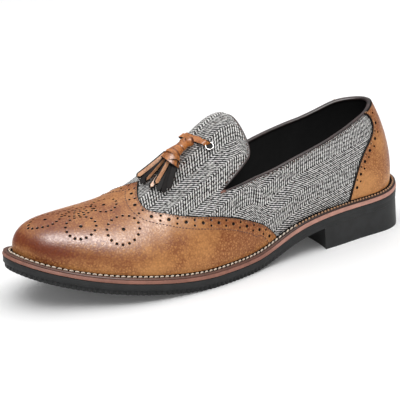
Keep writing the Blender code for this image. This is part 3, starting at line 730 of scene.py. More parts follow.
def leather(name, light, dark, patch_size, gloss):
    """Burnished calf: soft patches, dark where the shade mark says so, and a pebbled grain with furrows."""
    made = Finish(name, Coat_Weight=0.06, Coat_Roughness=0.35, Specular_IOR_Level=0.22)
    patch, fleck, blotch = made.noise(patch_size, 3.0), made.noise(1.6, 4.0), made.noise(3.2, 2.0)
    cells = {"Vector": made.place, "Scale": 1 / (GRAIN * MM)}
    grain = made.node("TexVoronoi", cells, feature="DISTANCE_TO_EDGE")
    furrow = made.spread(grain, 0.0, 0.4, 1.0, 0.0)
    share = shade = made.shade()
    for clouds, low, depth in ((patch, 0.3, 0.13), (fleck, 0.3, 0.09), (blotch, 0.35, 0.03)):
        share = made.plus(share, made.spread(clouds, low, 1 - low, -depth, depth))
    worn = made.times(made.spread(patch, 0.3, 0.6, 0.18, 0.4), made.spread(shade, 0.2, 0.5, 1.0, 0.35))
    share = made.plus(share, made.times(furrow, worn))
    made.set(Base_Color=made.mix(made.spread(share, -0.1, 1.0), srgb(*light), srgb(*dark)))
    made.bump(made.math("SUBTRACT", fleck, furrow), GRAIN_DEPTH, 0.6)
    made.set(Roughness=made.spread(fleck, 0.3, 0.7, gloss - 0.06, gloss + 0.1))
    return made.made


def tweed():
    """Herringbone: slanting yarns whose slant turns from band to band, light on dark."""
    made = Finish("tweed", Roughness=0.95, Sheen_Weight=0.15, Sheen_Roughness=0.6, Specular_IOR_Level=0.15)
    weave = made.node("UVMap", uv_map="weave")
    ravel, worn = made.clouds(weave, 0.8, 3.0), made.clouds(weave, 0.45, 3.0)
    fuzz, warm = made.clouds(weave, 2.6, 2.0), made.clouds(weave, 0.5, 1.0)
    run, across = (made.node("SeparateXYZ", {0: weave}, out=i) for i in range(2))
    zigzag = made.times(made.math("PINGPONG", across, WEAVE_BAND), cos(YARN_SLANT))
    lean = made.plus(zigzag, made.times(run, sin(YARN_SLANT)))
    lean = made.plus(lean, made.spread(ravel, 0.2, 0.8, -0.28, 0.28))
    yarn = made.math("SINE", made.times(lean, 2 * pi / YARN_PITCH))
    weft = made.math("SINE", made.times(across, 2 * pi * cos(YARN_SLANT) / YARN_PITCH))
    yarn = made.plus(yarn, made.times(weft, 0.4))
    light = made.spread(made.plus(yarn, made.spread(worn, 0.3, 0.7, -0.45, 0.45)), 0.0, 0.6)
    pale = made.mix(made.spread(fuzz, 0.3, 0.7), srgb(232, 229, 225), srgb(252, 251, 249))
    deep = made.mix(made.spread(fuzz, 0.35, 0.75), srgb(8, 8, 9), srgb(34, 32, 31))
    deep = made.mix(made.spread(warm, 0.62, 0.72, 0.0, 0.6), deep, srgb(96, 62, 48))
    made.set(Base_Color=made.mix(light, deep, pale))
    made.bump(made.plus(light, fuzz), 0.35, 0.7)
    return made.made


def plain(name, a, b, size, roughness, depth, grain, **shader):
    """A mottled material with a fine relief: size of the mottle, depth and grain of the relief in mm."""
    made = Finish(name, Roughness=roughness, **shader)
    mottle = made.noise(size, 3.0)
    made.set(Base_Color=made.mix(made.spread(mottle, 0.3, 0.7), srgb(*a), srgb(*b)))
    made.bump(made.noise(grain, 3.0), depth, 0.6)
    return made.made


def two_tone(name, front, back):
    """A dyed edge that changes along the shoe."""
    made = Finish(name, Roughness=0.5, Specular_IOR_Level=0.2)
    mottle = made.spread(made.noise(6.0, 3.0), 0.3, 0.7, 0.78, 1.0)
    dye = made.mix(made.shade(), srgb(*front), srgb(*back))
    made.set(Base_Color=made.mix(1.0, dye, mottle, "MULTIPLY"))
    made.bump(made.noise(1.1, 3.0), 0.1, 0.6)
    return made.made


def thread(name, a, b):
    return plain(name, a, b, 1.0, 0.8, 0.15, 0.3)


TAN = leather("tan_leather", (214, 150, 88), (124, 54, 20), 26.0, 0.38)
TASSEL_TAN = leather("tassel_leather", (204, 126, 62), (88, 38, 13), 5.0, 0.42)
# A lighter, pinker copy of the tassel's leather for the strips: painted highlight
HIGHLIT_STRIP_TAN = leather("highlit_strip_leather", (244, 182, 134), (176, 108, 64), 6.0, 0.45)
TWEED = tweed()
RUBBER = plain("rubber", (24, 25, 25), (34, 35, 36), 8.0, 0.55, 0.1, 0.7, Specular_IOR_Level=0.3)
WELT_UPPER = two_tone("welt_upper", (104, 67, 54), (58, 36, 28))
WELT_LOWER = two_tone("welt_lower", (166, 115, 99), (210, 156, 140))
BROWN = plain("brown_leather", (66, 47, 45), (36, 26, 25), 5.0, 0.45, 0.12, 0.9, Specular_IOR_Level=0.3)
LINING = plain("black_lining", (10, 10, 10), (18, 17, 17), 5.0, 0.75, 0.1, 0.8, Specular_IOR_Level=0.12)
# Dark edge paint, and painted shade in the welt's channel, along the lace's edges and round the tassel
# cap's rim
DARK_PAINT_AND_SHADE = plain("dark_paint_and_shade", (26, 18, 15), (13, 10, 9), 2.0, 0.7, 0.1, 0.6, Specular_IOR_Level=0.08)
STEEL = plain("steel", (150, 148, 146), (104, 102, 100), 1.5, 0.38, 0.02, 0.5, Metallic=1.0)
CREAM = thread("cream_thread", (244, 228, 208), (214, 192, 168))
TAN_THREAD = thread("tan_thread", (204, 152, 100), (164, 112, 70))
TACK_THREAD = thread("tack_thread", (150, 84, 54), (112, 58, 40))
DARK_THREAD = thread("dark_thread", (104, 58, 38), (76, 42, 28))


# Upper

def upper_rows(side):
    """The upper's rows: from heel to toe below the notch, from the flap's edge to the toe above it."""
    split_phi, split_q = notch(side)
    behind = np.linspace(0, split_phi, int(round(UPPER_COLUMNS * split_phi / pi)) + 1)
    ahead = np.linspace(split_phi, pi, UPPER_COLUMNS - len(behind) + 2)
    phi = np.concatenate([behind, ahead[1:]])
    top = np.append(topline_q(behind, side), [split_q] * (len(ahead) - 1))
    share = np.linspace(0, 1, ROWS_BELOW + 1)[:, None]
    below = np.broadcast_to(phi, (ROWS_BELOW + 1, len(phi))), share * top
    rise = np.linspace(0, 1, ROWS_ABOVE + 1) ** 1.5
    flap = np.array([np.linspace(flap_angle(r), split_phi, FLAP_COLUMNS, endpoint=False) for r in rise])
    above_phi = np.hstack([flap, np.broadcast_to(ahead, (len(rise), len(ahead)))])
    above_q = np.broadcast_to((split_q + rise * (1 - split_q))[:, None], above_phi.shape)
    return below, (above_phi, above_q)


def weave_marks(phi, q, side):
    """Where a place lies in the cloth: along its bands, which rise toward the heel, and across them."""
    x, foot = station(phi), RIDGE_HEIGHT(WEAVE_X)
    back, behind = WEAVE_X - x, np.maximum(WEAVE_X - x, 0)
    ridge = np.where(x > WEAVE_X, RIDGE_HEIGHT(x), foot + FLAP_SLOPE * behind)
    height = ridge - arc_from_ridge(phi, q, side)
    bend = BAND_TURN * BEND_LENGTH * np.log(np.cosh(back / BEND_LENGTH))
    level = foot + BAND_SLOPE * back + bend + BAND_CURVE * behind ** 2
    slope = BAND_SLOPE + BAND_TURN * np.tanh(back / BEND_LENGTH) + 2 * BAND_CURVE * behind
    across = side * ((level - height) / np.sqrt(1 + slope ** 2) + BAND_START)
    along = 0.82 * (0.7 * height - x)
    return np.stack([along, across, np.zeros_like(x)], -1)


def make_upper():
    cloth, lining = Patches(), Patches()
    for side in (LATERAL, MEDIAL):
        for phi, q in upper_rows(side):
            points, out = skin(phi, q, side)
            cloth.grid(points, out, weave_marks(phi, q, side), flip=side == MEDIAL)
            lining.grid(points[::2, ::2] - out[::2, ::2] * WALL, -out[::2, ::2], flip=side == LATERAL)
    cloth.piece("upper_cloth", [TWEED], ["upper"], "grey_tweed")
    lining.piece("upper_lining", [LINING], ["upper"], "black_lining")


def collar_path(side):
    """Points and normals of the opening's edge, from the heel into the slit and on to the flap's middle."""
    (below_phi, below_q), (above_phi, above_q) = upper_rows(side)
    behind = int(np.argmin(np.abs(below_phi[-1] - notch(side)[0])))
    phi = np.concatenate([below_phi[-1, :behind], above_phi[:, 0]])
    q = np.concatenate([below_q[-1, :behind], above_q[:, 0]])
    return skin(phi, q, side)


def make_binding():
    """Leather folded over the opening's edge: a bead on the topline, a flat fold on the flap."""
    patches, seams = Patches(), Patches()
    for side in (LATERAL, MEDIAL):
        points, out = collar_path(side)
        run = unit(np.gradient(points, axis=0))
        away = unit(np.cross(run, out) * side)
        tip = int(np.argmax(points[:, 0]))
        beyond = np.where(np.arange(len(points)) < tip, BINDING, FLAP_FOLD) - BINDING_SECTION["out"].max()
        pinch = growth(np.linalg.norm(points - points[tip], axis=1), (0.0, SLIT_PINCH))
        rows = [
            points + away * (a * (PINCHED + (1 - PINCHED) * pinch) + beyond * pinch)[:, None] + out * b
            for a, b in zip(*BINDING_SECTION.values())
        ]
        patches.grid(np.array(rows), flip=side == MEDIAL)
        seam = points - away * COLLAR_SEAM + out * 0.05
        for part in (seam[:tip - 6], seam[tip + 3:-1]):
            places = even(part, COLLAR_STITCH * 2)
            run = unit(np.gradient(places, axis=0))
            outward = out[[int(np.argmin(np.linalg.norm(points - place, axis=1))) for place in places]]
            half = run * COLLAR_STITCH / 2
            stitches(seams, places - half, places + half, outward, STITCH_RADIUS)
        along, up = unit(points[tip - 8] - points[tip]), out[tip]
        for row in TACK_ROWS:
            start = points[tip] + np.cross(along, up) * (row + 0.5 * side) - along * 0.8 + up * 0.2
            stitches(seams, [start], [start + along * TACK], [up], TACK_RADIUS, 1)
    patches.piece("binding", [BROWN], ["collar_binding"], "brown_leather")
    seams.piece("collar_seams", [DARK_THREAD, TACK_THREAD], ["collar_binding"], "brown_leather")


# Leather cut in the flat

def inside(points, loop):
    """Which points lie in a closed loop."""
    x, y = points[:, :1], points[:, 1:]
    a, b = loop, np.roll(loop, -1, axis=0)
    crosses = (a[:, 1] > y) != (b[:, 1] > y)
    with np.errstate(divide="ignore", invalid="ignore"):
        at = a[:, 0] + (y - a[:, 1]) / (b[:, 1] - a[:, 1]) * (b[:, 0] - a[:, 0])
    return (crosses & (x < at)).sum(axis=1) % 2 == 1


def even(line, step):
    """A line's points again, at even steps."""
    run = lengths(line)
    places = np.linspace(0, run[-1], max(int(run[-1] / step), 1) + 1)
    return np.stack([np.interp(places, run, line[:, i]) for i in range(line.shape[1])], -1)


def inset_loop(loop, distance):
    """A closed anticlockwise loop, moved inward."""
    run = unit(np.roll(loop, -1, axis=0) - np.roll(loop, 1, axis=0))
    return loop + np.stack([-run[:, 1], run[:, 0]], -1) * distance


def flat_steps(roll, flat):
    """For each flat place, the normal there and the flat move that makes each move on the shoe."""
    step = 0.2
    moves = []
    for way in np.eye(2) * step:
        moves.append((rolled(roll, flat + way, 0.0)[0] - rolled(roll, flat - way, 0.0)[0]) / (2 * step))
    slopes = np.stack(moves, -1)
    return rolled(roll, flat, 0.0)[1], slopes, np.linalg.pinv(slopes)


def punches(roll, holes):
    """The two flat axes of each hole that make it round, of radius 1, on the shoe."""
    out, slopes, back = flat_steps(roll, np.array(holes)[:, :2])
    first = unit(slopes[:, :, 0])
    second = np.cross(out, first)
    return np.stack([np.einsum("nij,nj->ni", back, first), np.einsum("nij,nj->ni", back, second)], -1)


def hole_sides(radius):
    return 14 if radius > MEDAL_HOLE else 9


def leather_sheet(name, node, loop, holes, roll, shade, painted):
    """A punched sheet: its face, and its painted edges and the dark behind its holes as a second piece."""
    edge = inset_loop(loop, painted)
    flat, drop, toward = [edge], [np.zeros(len(edge))], [np.zeros_like(edge)]
    axes = punches(roll, holes)
    for (x, y, radius), axis in zip(holes, axes):
        count = hole_sides(radius)
        turn = np.linspace(0, 2 * pi, count, endpoint=False)
        spoke = np.stack([np.cos(turn), np.sin(turn)], -1) @ axis.T
        for r, sunk in ((radius, HOLE_DROP), (radius + HOLE_RIM, 0.0)):
            flat.append((x, y) + spoke * r)
            drop.append(np.full(count, sunk))
            toward.append(-spoke * (sunk > 0))
    unround = np.linalg.inv(axes)

    def off_hole(points, i):
        return np.linalg.norm((points - holes[i][:2]) @ unround[i].T, axis=1) - holes[i][2]

    low, high = loop.min(axis=0), loop.max(axis=0)
    rows = np.arange(low[1], high[1], SHEET_STEP * 0.866)
    columns = np.arange(low[0], high[0], SHEET_STEP)
    fill = np.array([(x + SHEET_STEP / 2 * (i % 2), y) for i, y in enumerate(rows) for x in columns])
    fill = fill[inside(fill, edge)]
    near = np.array([np.min(np.linalg.norm(edge - point, axis=1)) for point in fill])
    fill = fill[near > 0.5 * SHEET_STEP]
    for i in range(len(holes)):
        fill = fill[off_hole(fill, i) > 2.5 * HOLE_RIM]
    flat.append(fill)
    drop.append(np.zeros(len(fill)))
    toward.append(np.zeros_like(fill))
    flat, drop, toward = np.concatenate(flat), np.concatenate(drop), np.concatenate(toward)
    count = len(edge)
    border = [(i, (i + 1) % count) for i in range(count)]
    made = delaunay_2d_cdt([Vector(point) for point in flat], border, [], 0, 1e-4)
    source = np.array([origin[0] if origin else -1 for origin in made[3]])
    faces = source[np.array(made[2])]
    middle = flat[faces].mean(axis=1)
    keep = inside(middle, edge) & (faces >= 0).all(axis=1)
    for i, hole in enumerate(holes):
        keep &= off_hole(middle, i) > -0.05 * hole[2]
    lift = OVERLAY_GAP + OVERLAY
    points, out = rolled(roll, flat, lift)
    ahead, _ = rolled(roll, flat + toward * 0.2, lift)
    lean = unit(ahead - points) * (drop > 0)[:, None]
    marks = np.column_stack([flat, shade(points)])
    face = Patches()
    face.add(points - out * drop[:, None], faces[keep], unit(out + lean * 0.9), marks)
    face.piece(name, [TAN], [node], "tan_leather")

    cuts = Patches()
    shoulder, _ = rolled(roll, inset_loop(loop, CUT_ROUND), lift)
    rim, _ = rolled(roll, loop, lift - CUT_ROUND)
    foot, _ = rolled(roll, loop, OVERLAY_GAP - 0.3)
    strip = np.stack([points[:count], shoulder, rim, foot])
    cuts.grid(np.concatenate([strip, strip[:, :1]], 1), flip=True)
    start = count
    for x, y, radius in holes:
        sides = hole_sides(radius)
        top = points[start:start + sides] - out[start:start + sides] * HOLE_DROP
        low = top - out[start:start + sides] * (OVERLAY - HOLE_DROP)
        cuts.grid(np.stack([top, low]), closed=True)
        cuts.add(low, [list(range(sides))])
        start += 2 * sides
    cuts.piece(name + "_cuts", [DARK_PAINT_AND_SHADE], [node], "tan_leather")


def rolled(roll, flat, lift):
    """Flat places on the shoe: points and normals."""
    points, out = np.empty((len(flat), 3)), np.empty((len(flat), 3))
    phi, q, side = roll(flat)
    for one in (LATERAL, MEDIAL):
        here = side == one
        points[here], out[here] = skin(phi[here], q[here], one, lift)
    points[:, 2] = np.maximum(points[:, 2], welt_top(points[:, 0]) + GAP)
    return points, out


def sewn(patches, line, roll):
    """A row of stitches along a flat line."""
    places = even(line, STITCH_PITCH)
    run = unit(np.gradient(places, axis=0))
    starts, out = rolled(roll, places - run * STITCH / 2, OVERLAY_GAP + OVERLAY)
    ends, _ = rolled(roll, places + run * STITCH / 2, OVERLAY_GAP + OVERLAY)
    stitches(patches, starts, ends, out, STITCH_RADIUS)


def offset_line(line, distance, inward, roll):
    """A flat line moved sideways by a length on the shoe, to its left where inward is 1."""
    out, slopes, back = flat_steps(roll, line)
    run = np.einsum("nij,nj->ni", slopes, np.gradient(line, axis=0))
    return line + np.einsum("nij,nj->ni", back, unit(np.cross(out, run))) * distance * inward


# Wing

def wing_flat(phi, q, side):
    """Places of the wing laid flat: out from the ridge's plan by the length over the surface."""
    _, _, top, down = wall_ends(np.asarray(phi, float), side)
    return top[..., :2] + down * arc_from_ridge(phi, q, side)[..., None]


def wing_roller():
    """The way back from the flat to phi, q and side, by the nearest of a net of known places."""
    phi = np.linspace(angle_at(WING_TAIL_X - 4), pi, 170)
    q = np.linspace(0, 1, 70)
    net_phi, net_q = np.meshgrid(phi, q, indexing="ij")
    nets, tree = [], KDTree(2 * net_phi.size)
    for which, side in enumerate((LATERAL, MEDIAL)):
        net = wing_flat(net_phi, net_q, side)
        by_phi, by_q = np.gradient(net, phi, q, axis=(0, 1))
        nets.append((net.reshape(-1, 2), np.stack([by_phi, by_q], -1).reshape(-1, 2, 2)))
        for i, place in enumerate(net.reshape(-1, 2)):
            tree.insert((*place, 0.0), which * net_phi.size + i)
    tree.balance()
    known = np.concatenate([net[0] for net in nets])
    slopes = np.concatenate([net[1] for net in nets])
    phi_of, q_of = np.tile(net_phi.ravel(), 2), np.tile(net_q.ravel(), 2)
    side_of = np.repeat([LATERAL, MEDIAL], net_phi.size)

    def roll(flat):
        nearest = np.array([tree.find((*place, 0.0))[1] for place in flat])
        move = np.einsum("nij,nj->ni", np.linalg.pinv(slopes[nearest]), flat - known[nearest])
        move = np.clip(move, -0.05, 0.05)
        phi = np.clip(phi_of[nearest] + move[:, 0], 0, pi)
        return phi, np.clip(q_of[nearest] + move[:, 1], 0, 1), side_of[nearest]

    return roll


def wing_edge(side, count=240):
    """The wing's free edge in the flat, from its tail to the throat's point on the ridge."""
    tail, throat = angle_at(WING_TAIL_X), angle_at(THROAT_X)
    behind = np.linspace(tail, throat, count)
    low = np.maximum(q_at_height(behind, side, WING_HEIGHT), TAIL_Q)
    rise = np.linspace(0, 1, count)[1:]
    phi = np.concatenate([behind, angle_at(THROAT(rise))])
    return wing_flat(phi, np.concatenate([low, low[-1] + rise * (1 - low[-1])]), side)


def wing_loop():
    """The wing's outline in the flat, anticlockwise."""
    phi = np.linspace(angle_at(WING_TAIL_X), pi, 300)
    outer, inner = wing_flat(phi, 0 * phi, LATERAL), wing_flat(phi, 0 * phi, MEDIAL)
    line = np.concatenate([inner, outer[::-1], wing_edge(LATERAL), wing_edge(MEDIAL)[::-1], inner[:1]])
    return even(line, LOOP_STEP)[:-1]


def medallion():
    """The toe's punched ornament: a leaf, a rosette in a second leaf, a ring, and two medals a side."""
    holes = []

    def axis(x):
        return MEDAL_AXIS[1] + (MEDAL_AXIS[0] - x) * MEDAL_TURN

    def dots(x, y, along, aside, count, point=1.0):
        """Small holes round an oval, or round a leaf where point is more than 1."""
        turn = np.linspace(0, 2 * pi, 200)
        wave = [np.sign(w) * np.abs(w) ** point for w in (np.cos(turn), np.sin(turn))]
        line = even(np.stack([x + along * wave[0], y + aside * wave[1]], -1), 0.2)
        step = len(line) / count
        holes.extend((*line[int(i * step)], MEDAL_HOLE) for i in range(count))

    for x, along, aside, count, point, eye in MEDALS:
        dots(x, axis(x), along, aside, count, point)
        holes.append((x, axis(x), eye))
    for x, away, along, aside, count in SIDE_MEDALS:
        for side in (LATERAL, MEDIAL):
            dots(x, axis(x) + side * away, along, aside, count)
            holes.append((x, axis(x) + side * away, BIG_HOLE))
    return holes


def edge_holes(line, inward, roll, start, pitches):
    """Big holes along an edge, with a pair of small ones between each two."""
    points, _ = rolled(roll, line, 0.0)
    run = lengths(points)
    places = [start]
    first_pitch, last_pitch, fade = pitches
    while places[-1] < run[-1]:
        pitch = np.interp(run[-1] - places[-1], (0.0, fade), (last_pitch, first_pitch))
        places.append(places[-1] + pitch / 2)
    holes = []
    for row, radius, first in ((BIG_ROW, BIG_HOLE, 0), *((row, SMALL_HOLE, 1) for row in SMALL_ROWS)):
        moved = offset_line(line, row, inward, roll)
        for place in places[first:-1:2]:
            holes.append((*(np.interp(place, run, moved[:, i]) for i in range(2)), radius))
    return holes


def wing_shade(points):
    """Tone by height over the welt and toward the toe: golden beside the welt, lightened there partly as
    painted light, a darker band over that, brown on top and darkest at the burnished tip.
    """
    x, rise = points[:, 0], points[:, 2] - welt_top(points[:, 0])
    band = np.exp(-((rise - 11.0) / 4.0) ** 2) * growth(x, (200.0, 260.0))
    top, tip, foot = growth(rise, (12.0, 26.0)), growth(x, (255.0, 295.0)), 1 - growth(rise, (0.0, 8.0))
    # foot lightens the calf beside the welt: partly painted light on the lower wall
    return 0.14 + 0.38 * band + 0.2 * top + 0.4 * tip * (1 - 0.8 * foot) - 0.1 * foot


def make_wing():
    roll = wing_roller()
    loop, holes = wing_loop(), medallion()
    seams = Patches()
    for side in (LATERAL, MEDIAL):
        line = even(wing_edge(side), 1.0)

        def beyond(place, limits, side=side):
            return place[0] > limits[0] and side * (place[1] - WING_MIDDLE) > limits[1]

        found = edge_holes(line, side, roll, WING_START, WING_PITCHES)
        holes += [hole for hole in found if beyond(hole, WING_HOLES)]
        for distance in (EDGE_STITCH, INNER_STITCH):
            row = offset_line(line, distance, side, roll)
            sewn(seams, row[[beyond(place, WING_STITCHES) for place in row]], roll)
    leather_sheet("wing", "wingtip", loop, holes, roll, wing_shade, WING_PAINT)
    seams.piece("wing_seams", [DARK_THREAD], ["wingtip"], "tan_leather")


# Heel counter

def counter_roller():
    """The way from the counter's flat pattern to phi, q and side, and the way back."""
    phi = np.linspace(0, 1.3, 300)
    middle = [wall_point(phi, 0.5 * topline_q(phi, side), side) for side in (LATERAL, MEDIAL)]
    arc = sum(lengths(line) for line in middle) / 2

    def roll(flat):
        side = np.where(flat[:, 0] <= 0, LATERAL, MEDIAL)
        angle = np.interp(np.abs(flat[:, 0]), arc, phi)
        rise = np.clip(flat[:, 1] / COUNTER_HEIGHT, 0, 1)
        top = np.where(side == LATERAL, topline_q(angle, LATERAL), topline_q(angle, MEDIAL))
        return angle, rise * top, side

    def flat(angle, rise, side):
        return np.stack([-side * np.interp(angle, phi, arc), rise * COUNTER_HEIGHT], -1)

    return roll, flat


def counter_front(side, rise):
    """Stations of the counter's front edge, from its foot (rise 0) to the topline (1)."""

    def past_edge(phi):
        return wall_point(phi, rise * topline_q(phi, side), side)[:, 0] - COUNTER_X(rise)

    return bisect(past_edge, 0.0, pi / 2, rise)


def counter_shade(points):
    """Burnish: golden at the foot, browner up and round the back."""
    rise, back = growth(points[:, 2], (34.0, 58.0)), growth(40.0 - points[:, 0], (0.0, 30.0))
    return 0.06 + 0.1 * rise + 0.3 * rise * back


def make_counter():
    roll, flat = counter_roller()
    rise = np.linspace(0, 1, 200)
    fronts = {side: flat(counter_front(side, rise), rise, side) for side in (LATERAL, MEDIAL)}
    loop = np.concatenate([fronts[MEDIAL], fronts[LATERAL][::-1], fronts[MEDIAL][:1]])
    holes, seams = [], Patches()
    for side in (LATERAL, MEDIAL):
        line = even(fronts[side], 1.0)
        found = edge_holes(line, -side, roll, COUNTER_START, COUNTER_PITCHES)
        holes += [hole for hole in found if COUNTER_HOLES[0] < hole[1] < COUNTER_HOLES[1]]
        sewn(seams, offset_line(line, COUNTER_STITCH, -side, roll), roll)
    loop = even(loop, LOOP_STEP)[:-1]
    leather_sheet("counter", "heel_counter", loop, holes, roll, counter_shade, COUNTER_PAINT)
    seams.piece("counter_seams", [TAN_THREAD], ["heel_counter"], "tan_leather")


# Sole

def ring(inset, height, phi=PHI):
    """A closed loop on the sole's outline, moved in by inset, at height(x)."""
    outer, away = outline(phi, LATERAL)
    inner, back = outline(phi[-2:0:-1], MEDIAL)
    flat, out = np.concatenate([outer, inner]), np.concatenate([away, back])
    depth = inset(flat) if callable(inset) else np.full(len(flat), inset)
    flat = flat - out * depth[:, None]
    return np.column_stack([flat, height(flat[:, 0])])


def step_inset(x):
    """How far the tread layer stands back: nothing at heel and waist, a step round the forefoot."""
    return WAIST_STEP + (TREAD_STEP - WAIST_STEP) * growth(x, STEP_FADES)


def tooth_inset(flat):
    """The tread layer's edge, cut into teeth round the forefoot."""
    run = np.cumsum(np.linalg.norm(np.diff(flat, axis=0, prepend=flat[-1:]), axis=1))
    notch_share = np.clip(4 * np.sin(2 * pi * run / TOOTH_PITCH) + 0.5, 0, 1)
    return step_inset(flat[:, 0]) + TOOTH_DEPTH * notch_share * growth(flat[:, 0], STEP_FADES)


def across(loop):
    """A ring's points in pairs, outer and inner, from heel to toe."""
    count = len(loop) // 2
    return loop[1:count], loop[:count:-1]


def rubber_rise(x):
    """How far the outsole's edge rises over the welt's underside, ahead of the heel."""
    return RUBBER_RISE * growth(x, WELT_DARK)


def make_sole():
    """Moulded sole: stepped and toothed edge, arch and toe spring, and the heel drawn down from it."""

    def over(rise):
        return lambda x: tread_height(x) + rise

    def stepped(flat):
        return step_inset(flat[:, 0])

    def rim(rise):
        return lambda x: tread_height(x) + OUTSOLE + rubber_rise(x) + rise

    patches = Patches()
    rings = [
        ring(WELT_WIDTH, over(OUTSOLE)),
        ring(1.2, over(OUTSOLE)),
        ring(EDGE_ROUND + 0.15, rim(0.0)),
        ring(0.15, rim(-0.3)),
        ring(0.05, over(OUTSOLE - 1.6)),
        ring(0, over(TREAD_LAYER + 0.3)),
        ring(0.2, over(TREAD_LAYER)),
        ring(stepped, over(TREAD_LAYER)),
    ]
    patches.grid(np.array(rings), closed=True)
    tread = ring(lambda flat: tooth_inset(flat) + 0.2, over(0.0))
    teeth = [rings[-1], ring(tooth_inset, over(TREAD_LAYER - 0.5)), ring(tooth_inset, over(0.2)), tread]
    patches.grid(np.array(teeth), closed=True)
    share = np.linspace(0, 1, UNDER_COLUMNS + 1)[:, None, None]
    outer, inner = across(tread)
    under = outer + (inner - outer) * share
    near = (under[..., 0] - HEEL_BREAST) / BREAST_SPREAD
    under[..., 0] -= BREAST_HOLLOW * (1 - (2 * share[..., 0] - 1) ** 2) * np.exp(-near * near)
    breast = int(np.argmin(np.abs(tread[1:COLUMNS, 0] - HEEL_BREAST)))
    patches.grid(under[:, breast:], flip=True)
    heel = under[:, :breast + 1].copy()
    heel[..., 0] = HEEL_MIDDLE + (heel[..., 0] - HEEL_MIDDLE) * HEEL_TAPER - HEEL_LEAN
    heel[..., 1] *= HEEL_TAPER
    heel[..., 2] = 0
    patches.grid(heel, flip=True)
    patches.grid(np.array([
        np.concatenate([part[0, :breast + 1], part[1:, breast], part[-1, breast - 1::-1], part[:1, 0]])
        for part in (under, heel)
    ]))
    patches.piece("sole", [RUBBER], ["outsole"], "black_rubber")


def make_welt():
    """Two bands of leather with a sewn channel beside the upper, the channel dark with painted shade."""
    phi = np.linspace(0, pi, 301)

    def loop(share, rise, rubber=0.0):
        """A line between the welt's edge (share 0) and the upper's foot (1)."""
        def height(x):
            return welt_bottom(x) + rise + rubber * rubber_rise(x)

        return ring(lambda flat: share * reach(flat[:, 0]), height, phi)

    patches = Patches()
    for finish, band in enumerate(WELT_BANDS):
        loops = np.array([loop(*row) for row in band])
        marks = np.zeros_like(loops)
        marks[..., 2] = 1 - growth(loops[..., 0], WELT_DARK)
        patches.grid(loops, marks=marks, closed=True, finish=finish)
    # The channel's dark is painted shade beside the upper
    patches.piece("welt_bands", [WELT_LOWER, WELT_UPPER, DARK_PAINT_AND_SHADE], ["welt"], "welt_leather")
    threads = Patches()
    for side in (LATERAL, MEDIAL):
        for finish, (start, end, share, pitch, length, radius) in enumerate(WELT_SEAMS):
            line = np.linspace(angle_at(start), angle_at(end), 900)
            places = even(outline(line, side, share * reach(station(line)))[0], pitch)
            run = unit(np.gradient(places, axis=0))
            outward = np.stack([-run[:, 1], run[:, 0]], -1) * side
            slant = run * length / 2 + outward * SEAM_SLANT
            ends = [np.column_stack([end, welt_top(end[:, 0])]) for end in (places - slant, places + slant)]
            stitches(threads, *ends, np.tile([0.0, 0.0, 1.0], (len(places), 1)), radius, finish)
    threads.piece("welt_threads", [CREAM, TAN_THREAD], ["welt"], "welt_leather")


def make_footbed():
    """The footbed, a little hollow across."""
    phi = np.linspace(0, pi, 161)
    rise = GAP + WELT + INSOLE

    def loop(inset, up):
        flange = inset + WALL + INSOLE_CLEAR
        return ring(lambda flat: reach(flat[:, 0]) + flange, lambda x: welt_bottom(x) + up, phi)

    patches = Patches()
    rings = [loop(6, WELT), loop(0, WELT + GAP), loop(0, rise - 0.8), loop(0.8, rise)]
    patches.grid(np.array(rings), closed=True)
    outer, inner = across(rings[-1])
    share = np.linspace(0, 1, 13)[:, None, None]
    bed = outer + (inner - outer) * share
    bed[..., 2] -= INSOLE_HOLLOW * np.sin(pi * share[..., 0]) ** 2
    patches.grid(bed)
    patches.piece("footbed", [LINING], ["insole"], "black_lining")


# Eyelets, lace and tassel

def wall_frame(phi, q, side):
    """A point of the upper with directions along the shoe, across it and out of it."""
    point, out = skin(phi, q, side)
    along = np.array([1.0, 0.0, 0.0])
    along = unit(along - out * (along @ out))
    return point, along, np.cross(out, along), out


def eyelet_sides():
    """The two eyelets' places, the same way either side of the ridge."""
    middle = wall_point(angle_at(EYELET_X), 1.0, LATERAL)[1]
    return {"eyelet_lateral": EYELET_SIDE, "eyelet_medial": 2 * middle - EYELET_SIDE}


def make_eyelet(name, y):
    """A rolled metal ring with its barrel and the dark hole in it."""
    point, along, side, out = wall_frame(*place_on_wall(EYELET_X, y))
    turn = np.linspace(0, 2 * pi, 40, endpoint=False)[:, None]
    spoke = along * np.cos(turn) + side * np.sin(turn)
    middle = point + out * (EYELET_WIRE + 2 * GAP)
    patches = Patches()
    roll = np.linspace(-0.6 * pi, 1.2 * pi, 14)
    wire = [spoke * (EYELET_RING + EYELET_WIRE * cos(t)) + out * EYELET_WIRE * sin(t) for t in roll]
    rows = [middle + part for part in wire]
    rows.append(point + spoke * (EYELET_RING - EYELET_WIRE) + out * EYELET_HOLE)
    patches.grid(np.array(rows), closed=True)
    patches.grid(np.array([rows[-1], point + spoke * 0.1 + out * EYELET_HOLE]), closed=True, finish=1)
    patches.piece(name + "_ring", [STEEL, LINING], [name], "steel")


